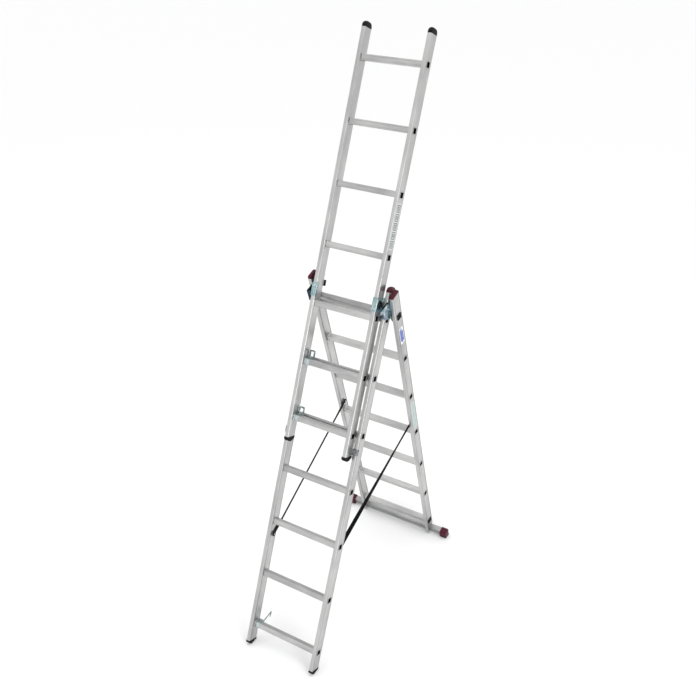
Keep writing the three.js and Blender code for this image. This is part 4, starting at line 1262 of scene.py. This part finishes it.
def straps():
    """Spreader straps of webbing, each with an eye at both ends for its bolt."""
    for word, side in SIDES.items():
        low_end = middle_of("middle_strap_anchor_" + word)
        high_end = middle_of("base_strap_anchor_" + word)
        for end, name in ((low_end, "middle"), (high_end, "base")):
            box_low, box_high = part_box(f"{name}_strap_anchor_{word}")
            inner_x = box_low.x if side > 0 else box_high.x
            end.x = inner_x + side * EYE_OFF_STILE * MM
        chord = high_end - low_end
        length = chord.length / MM
        along = chord.normalized()
        flat = Vector((side, 0, 0))
        flat = (flat - along * flat.dot(along)).normalized()
        wide = along.cross(flat)
        build = bmesh.new()
        half_w, half_t = STRAP_WIDTH / 2, STRAP_THICKNESS / 2
        face = (-half_w + STRAP_EDGE, *STRAP_CORDS, half_w - STRAP_EDGE)
        section_points = [(-half_w, 0), *[(x, -half_t) for x in face]]
        section_points += [(-x, -y) for x, y in section_points]
        rings, grain = [], []
        start, end = EYE_HOLE + EYE_LAP, length - EYE_HOLE - EYE_LAP
        for i in range(STRAP_STEPS + 1):
            at = start + (end - start) * i / STRAP_STEPS
            turn = math.radians(strap_twist(at / length, word)) * side
            u = wide * math.cos(turn) + flat * math.sin(turn)
            v = flat * math.cos(turn) - wide * math.sin(turn)
            near = min(at - start, end - at)
            width = NARROW_SHARE + (1 - NARROW_SHARE) * min(1, near / NARROW_RUN)
            centre = low_end + along * at * MM
            ring = []
            for a, b in section_points:
                ring.append(build.verts.new(centre + (u * a * width + v * b) * MM))
                grain.append((a * width * MM, 0, at * MM))
            rings.append(ring)
        for a, b in zip(rings, rings[1:]):
            for k in range(len(a)):
                m = (k + 1) % len(a)
                build.faces.new((a[k], a[m], b[m], b[k]))
        build.faces.new(rings[0][::-1])
        build.faces.new(rings[-1])
        eye = [(EYE_HOLE, -1), (EYE_HOLE, 1), (EYE_RADIUS, 1), (EYE_RADIUS + EYE_CROWN, 0), (EYE_RADIUS, -1)]
        for centre, direction in ((low_end, along), (high_end, -along)):
            loops = []
            for radius, depth in eye:
                loop = []
                for k in range(EYE_SIDES):
                    angle = 2 * math.pi * k / EYE_SIDES
                    spot = direction * math.cos(angle) + wide * math.sin(angle)
                    loop.append(build.verts.new(centre + (spot * radius + flat * depth * half_t) * MM))
                    grain.append((math.sin(angle) * radius * MM, 0, math.cos(angle) * radius * MM))
                loops.append(loop)
            for a, b in zip(loops, loops[1:] + loops[:1]):
                for k in range(EYE_SIDES):
                    m = (k + 1) % EYE_SIDES
                    build.faces.new((a[k], a[m], b[m], b[k]))
        bmesh.ops.recalc_face_normals(build, faces=build.faces)
        mesh = bpy.data.meshes.new("webbing_strap_" + word)
        build.to_mesh(mesh)
        build.free()
        attribute = mesh.attributes.new("grain", "FLOAT_VECTOR", "POINT")
        attribute.data.foreach_set("vector", [c for g in grain for c in g])
        mesh.materials.append(black_webbing)
        piece = bpy.data.objects.new("webbing_strap_" + word, mesh)
        bpy.context.scene.collection.objects.link(piece)
        soften(piece, 50)
        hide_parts("strap_" + word)
        reach = along * BLEND_START * MM
        start, end = tuple(high_end - reach), tuple(low_end + reach)
        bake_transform(piece)


# ---- Stickers ------------------------------------------------------------------------------------


FILM = 0.1  # drawn thicker than real film, so that its edge shows
FILM_LIFT = 0.12  # how far a sticker's face stands off the stile
PRINT_LIFT = 0.2
FRAME_LIFT = 0.16
FRAME_CORNER = 1.5


def film(name, section, y, z, width, height, material, lift=FILM_LIFT, corner=2.0):
    """A thin film on the outside of the right stile: its middle, its width front to back and its
    height."""
    build = Build(grain_axis="x")
    radius = min(corner, width / 2.1, height / 2.1)
    start = section.half_width + lift - FILM
    outline = moved(rounded_rectangle(width, height, radius, 3), y, z)
    build.bar(outline, [(start, 0), (start + FILM, 0)], along_x)
    build.done(name, section, material, smooth=40)


def frame_mark(name, section, y, z, width, height, line, material):
    """An open rectangle printed on a film."""
    build = Build(grain_axis="x")
    outer = moved(rounded_rectangle(width, height, FRAME_CORNER, 3), y, z)
    inner = moved(rounded_rectangle(width - 2 * line, height - 2 * line, 1.0, 3), y, z)
    start = section.half_width + FRAME_LIFT - 0.05
    build.tube(outer, inner, [(start, 0, 0), (start + 0.08, 0, 0)], along_x)
    build.done(name, section, material, smooth=40)


# Heights in rungs, and lengths in millimetres: (front to back, along the stile).
SIGN_STRIP_Y = -3
SIGN_STRIP = (40, 208)
SIGNS = 5
SIGN_PITCH = 40
SIGN_FRAME = (30, 33)
SIGN_LINE = 3.4
# The two uprights and two bars in a sign: (y, z, width, height).
UPRIGHT_SIGN = [(-5, 0, 3.4, 20), (5, 0, 3.4, 20), (0, -5, 10, 3), (0, 5, 10, 3)]
LYING_SIGN = [(0, -5, 20, 3.4), (0, 5, 20, 3.4), (-6, 0, 3, 10), (6, 0, 3, 10)]
MAKERS_PATCH = (33, 100)
PATCH_BELOW_TOP_RUNG = 0.44
PATCH_BARS = [(-9.5, 76, 4), (0, 92, 0), (9.5, 66, -6)]  # (y, length, shift)
PATCH_BAR_WIDTH = 7.6
RATING_PATCH = (44, 190)
RATING_BELOW_TOP_RUNG = 2.5
RATING_LINES = 9
RATING_LINE_PITCH = 19


def stickers():
    """Plain stand-ins for the maker's stickers: a strip of framed signs and a patch of blue bars."""
    strip_z = 3.5 * top.pitch
    film("sign_strip", top, SIGN_STRIP_Y, strip_z, *SIGN_STRIP, clear_film)
    for i in range(SIGNS):
        z = strip_z + (i - SIGNS // 2) * SIGN_PITCH
        frame_mark(f"sign_frame_{i + 1}", top, SIGN_STRIP_Y, z, *SIGN_FRAME, SIGN_LINE, grey_ink)
        for k, (dy, dz, width, height) in enumerate(LYING_SIGN if i % 2 else UPRIGHT_SIGN):
            place = (dy + SIGN_STRIP_Y, z + dz)
            name = f"sign_mark_{i + 1}_{k + 1}"
            film(name, top, *place, width, height, grey_ink, lift=PRINT_LIFT, corner=0.6)
    patch_z = base.top_rung - PATCH_BELOW_TOP_RUNG * base.pitch
    film("makers_patch", base, 0, patch_z, *MAKERS_PATCH, white_film)
    for i, (y, length, shift) in enumerate(PATCH_BARS):
        size = (PATCH_BAR_WIDTH, length)
        film(f"patch_bar_{i + 1}", base, y, patch_z + shift, *size, blue_ink, lift=PRINT_LIFT, corner=3.4)
    note_z = base.top_rung - RATING_BELOW_TOP_RUNG * base.pitch
    film("rating_patch", base, 0, note_z, *RATING_PATCH, tinted_film)
    for i in range(RATING_LINES):
        y, z = 3 * (i % 2), note_z + (i - RATING_LINES // 2) * RATING_LINE_PITCH
        width = 28 - 7 * (i % 3)
        film(f"rating_line_{i + 1}", base, y, z, width, 3, pale_ink, lift=PRINT_LIFT, corner=1.2)


# ---- Making --------------------------------------------------------------------------------------

for section in sections.values():
    stiles(section)
    rungs(section)
rung_plugs()
caps(base, maroon_plastic)
caps(middle, maroon_plastic)
caps(top, black_plastic)
feet(middle)
feet(top)
stabiliser_bar()
bar_end_caps()
cad_fittings()
hinge_cheeks()
latch_loops()
guide_pads()
fasteners()
strap_washers()
straps()
stickers()

# ---- Studio --------------------------------------------------------------------------------------

FLOOR_RADIUS = 45
FLOOR_SIDES = 96
SKY_STRENGTH = 1.1
# The cosines of the angles from the dark end's middle at which it fades in and is at its darkest.
DARK_FADES_IN, DARK_FULL = 0.5, 0.95
floor_mesh = bpy.data.meshes.new("studio_floor")
floor_build = bmesh.new()
bmesh.ops.create_circle(floor_build, cap_ends=True, segments=FLOOR_SIDES, radius=FLOOR_RADIUS)
floor_build.to_mesh(floor_mesh)
floor_build.free()
floor = bpy.data.objects.new("studio_floor", floor_mesh)
bpy.context.scene.collection.objects.link(floor)
paint, _, paint_shader = new_material("matt_white_studio_floor")
wire(paint_shader, {"Base Color": linear("#fbfbfb"), "Roughness": 0.9, "Specular IOR Level": 0.1})
floor_mesh.materials.append(paint)

world = bpy.data.worlds.new("studio")
bpy.context.scene.world = world
world.use_nodes = True
# The studio's dark end: a soft grey patch low down at the back, which the tops of the rungs mirror.
DARK_END = (-0.41, 0.90, 0.12)
studio_tree = world.node_tree
toward = add(studio_tree, "ShaderNodeTexCoord", {}, "Generated")
facing = add(studio_tree, "ShaderNodeVectorMath", {0: toward, 1: DARK_END}, "Value", operation="DOT_PRODUCT")
fade = {"Value": facing, "From Min": DARK_FADES_IN, "From Max": DARK_FULL}
shade = add(studio_tree, "ShaderNodeMapRange", fade)
studio_colours = {MIX_FACTOR: shade, MIX_FROM: linear("#ffffff"), MIX_TO: linear("#b2b3b4")}
studio_colour = add(studio_tree, "ShaderNodeMix", studio_colours, MIX_RESULT, data_type="RGBA")
wire(studio_tree.nodes["Background"], {"Color": studio_colour, "Strength": SKY_STRENGTH})


def soft_light(name, place, aim, width, height, power):
    """A large softbox that points at a place."""
    data = bpy.data.lights.new(name, "AREA")
    data.shape = "RECTANGLE"
    data.size = width
    data.size_y = height
    data.energy = power
    lamp = bpy.data.objects.new(name, data)
    bpy.context.scene.collection.objects.link(lamp)
    lamp.location = place
    lamp.rotation_mode = "QUATERNION"
    lamp.rotation_quaternion = (Vector(aim) - Vector(place)).to_track_quat("-Z", "Y")


soft_light("tall_softbox", (4.2, -2.6, 1.5), (0, 0, 1.4), width=1.3, height=3.0, power=75)
soft_light("overhead_softbox", (-0.6, 0.4, 6.0), (0, 0, 1.0), width=4.0, height=4.0, power=40)
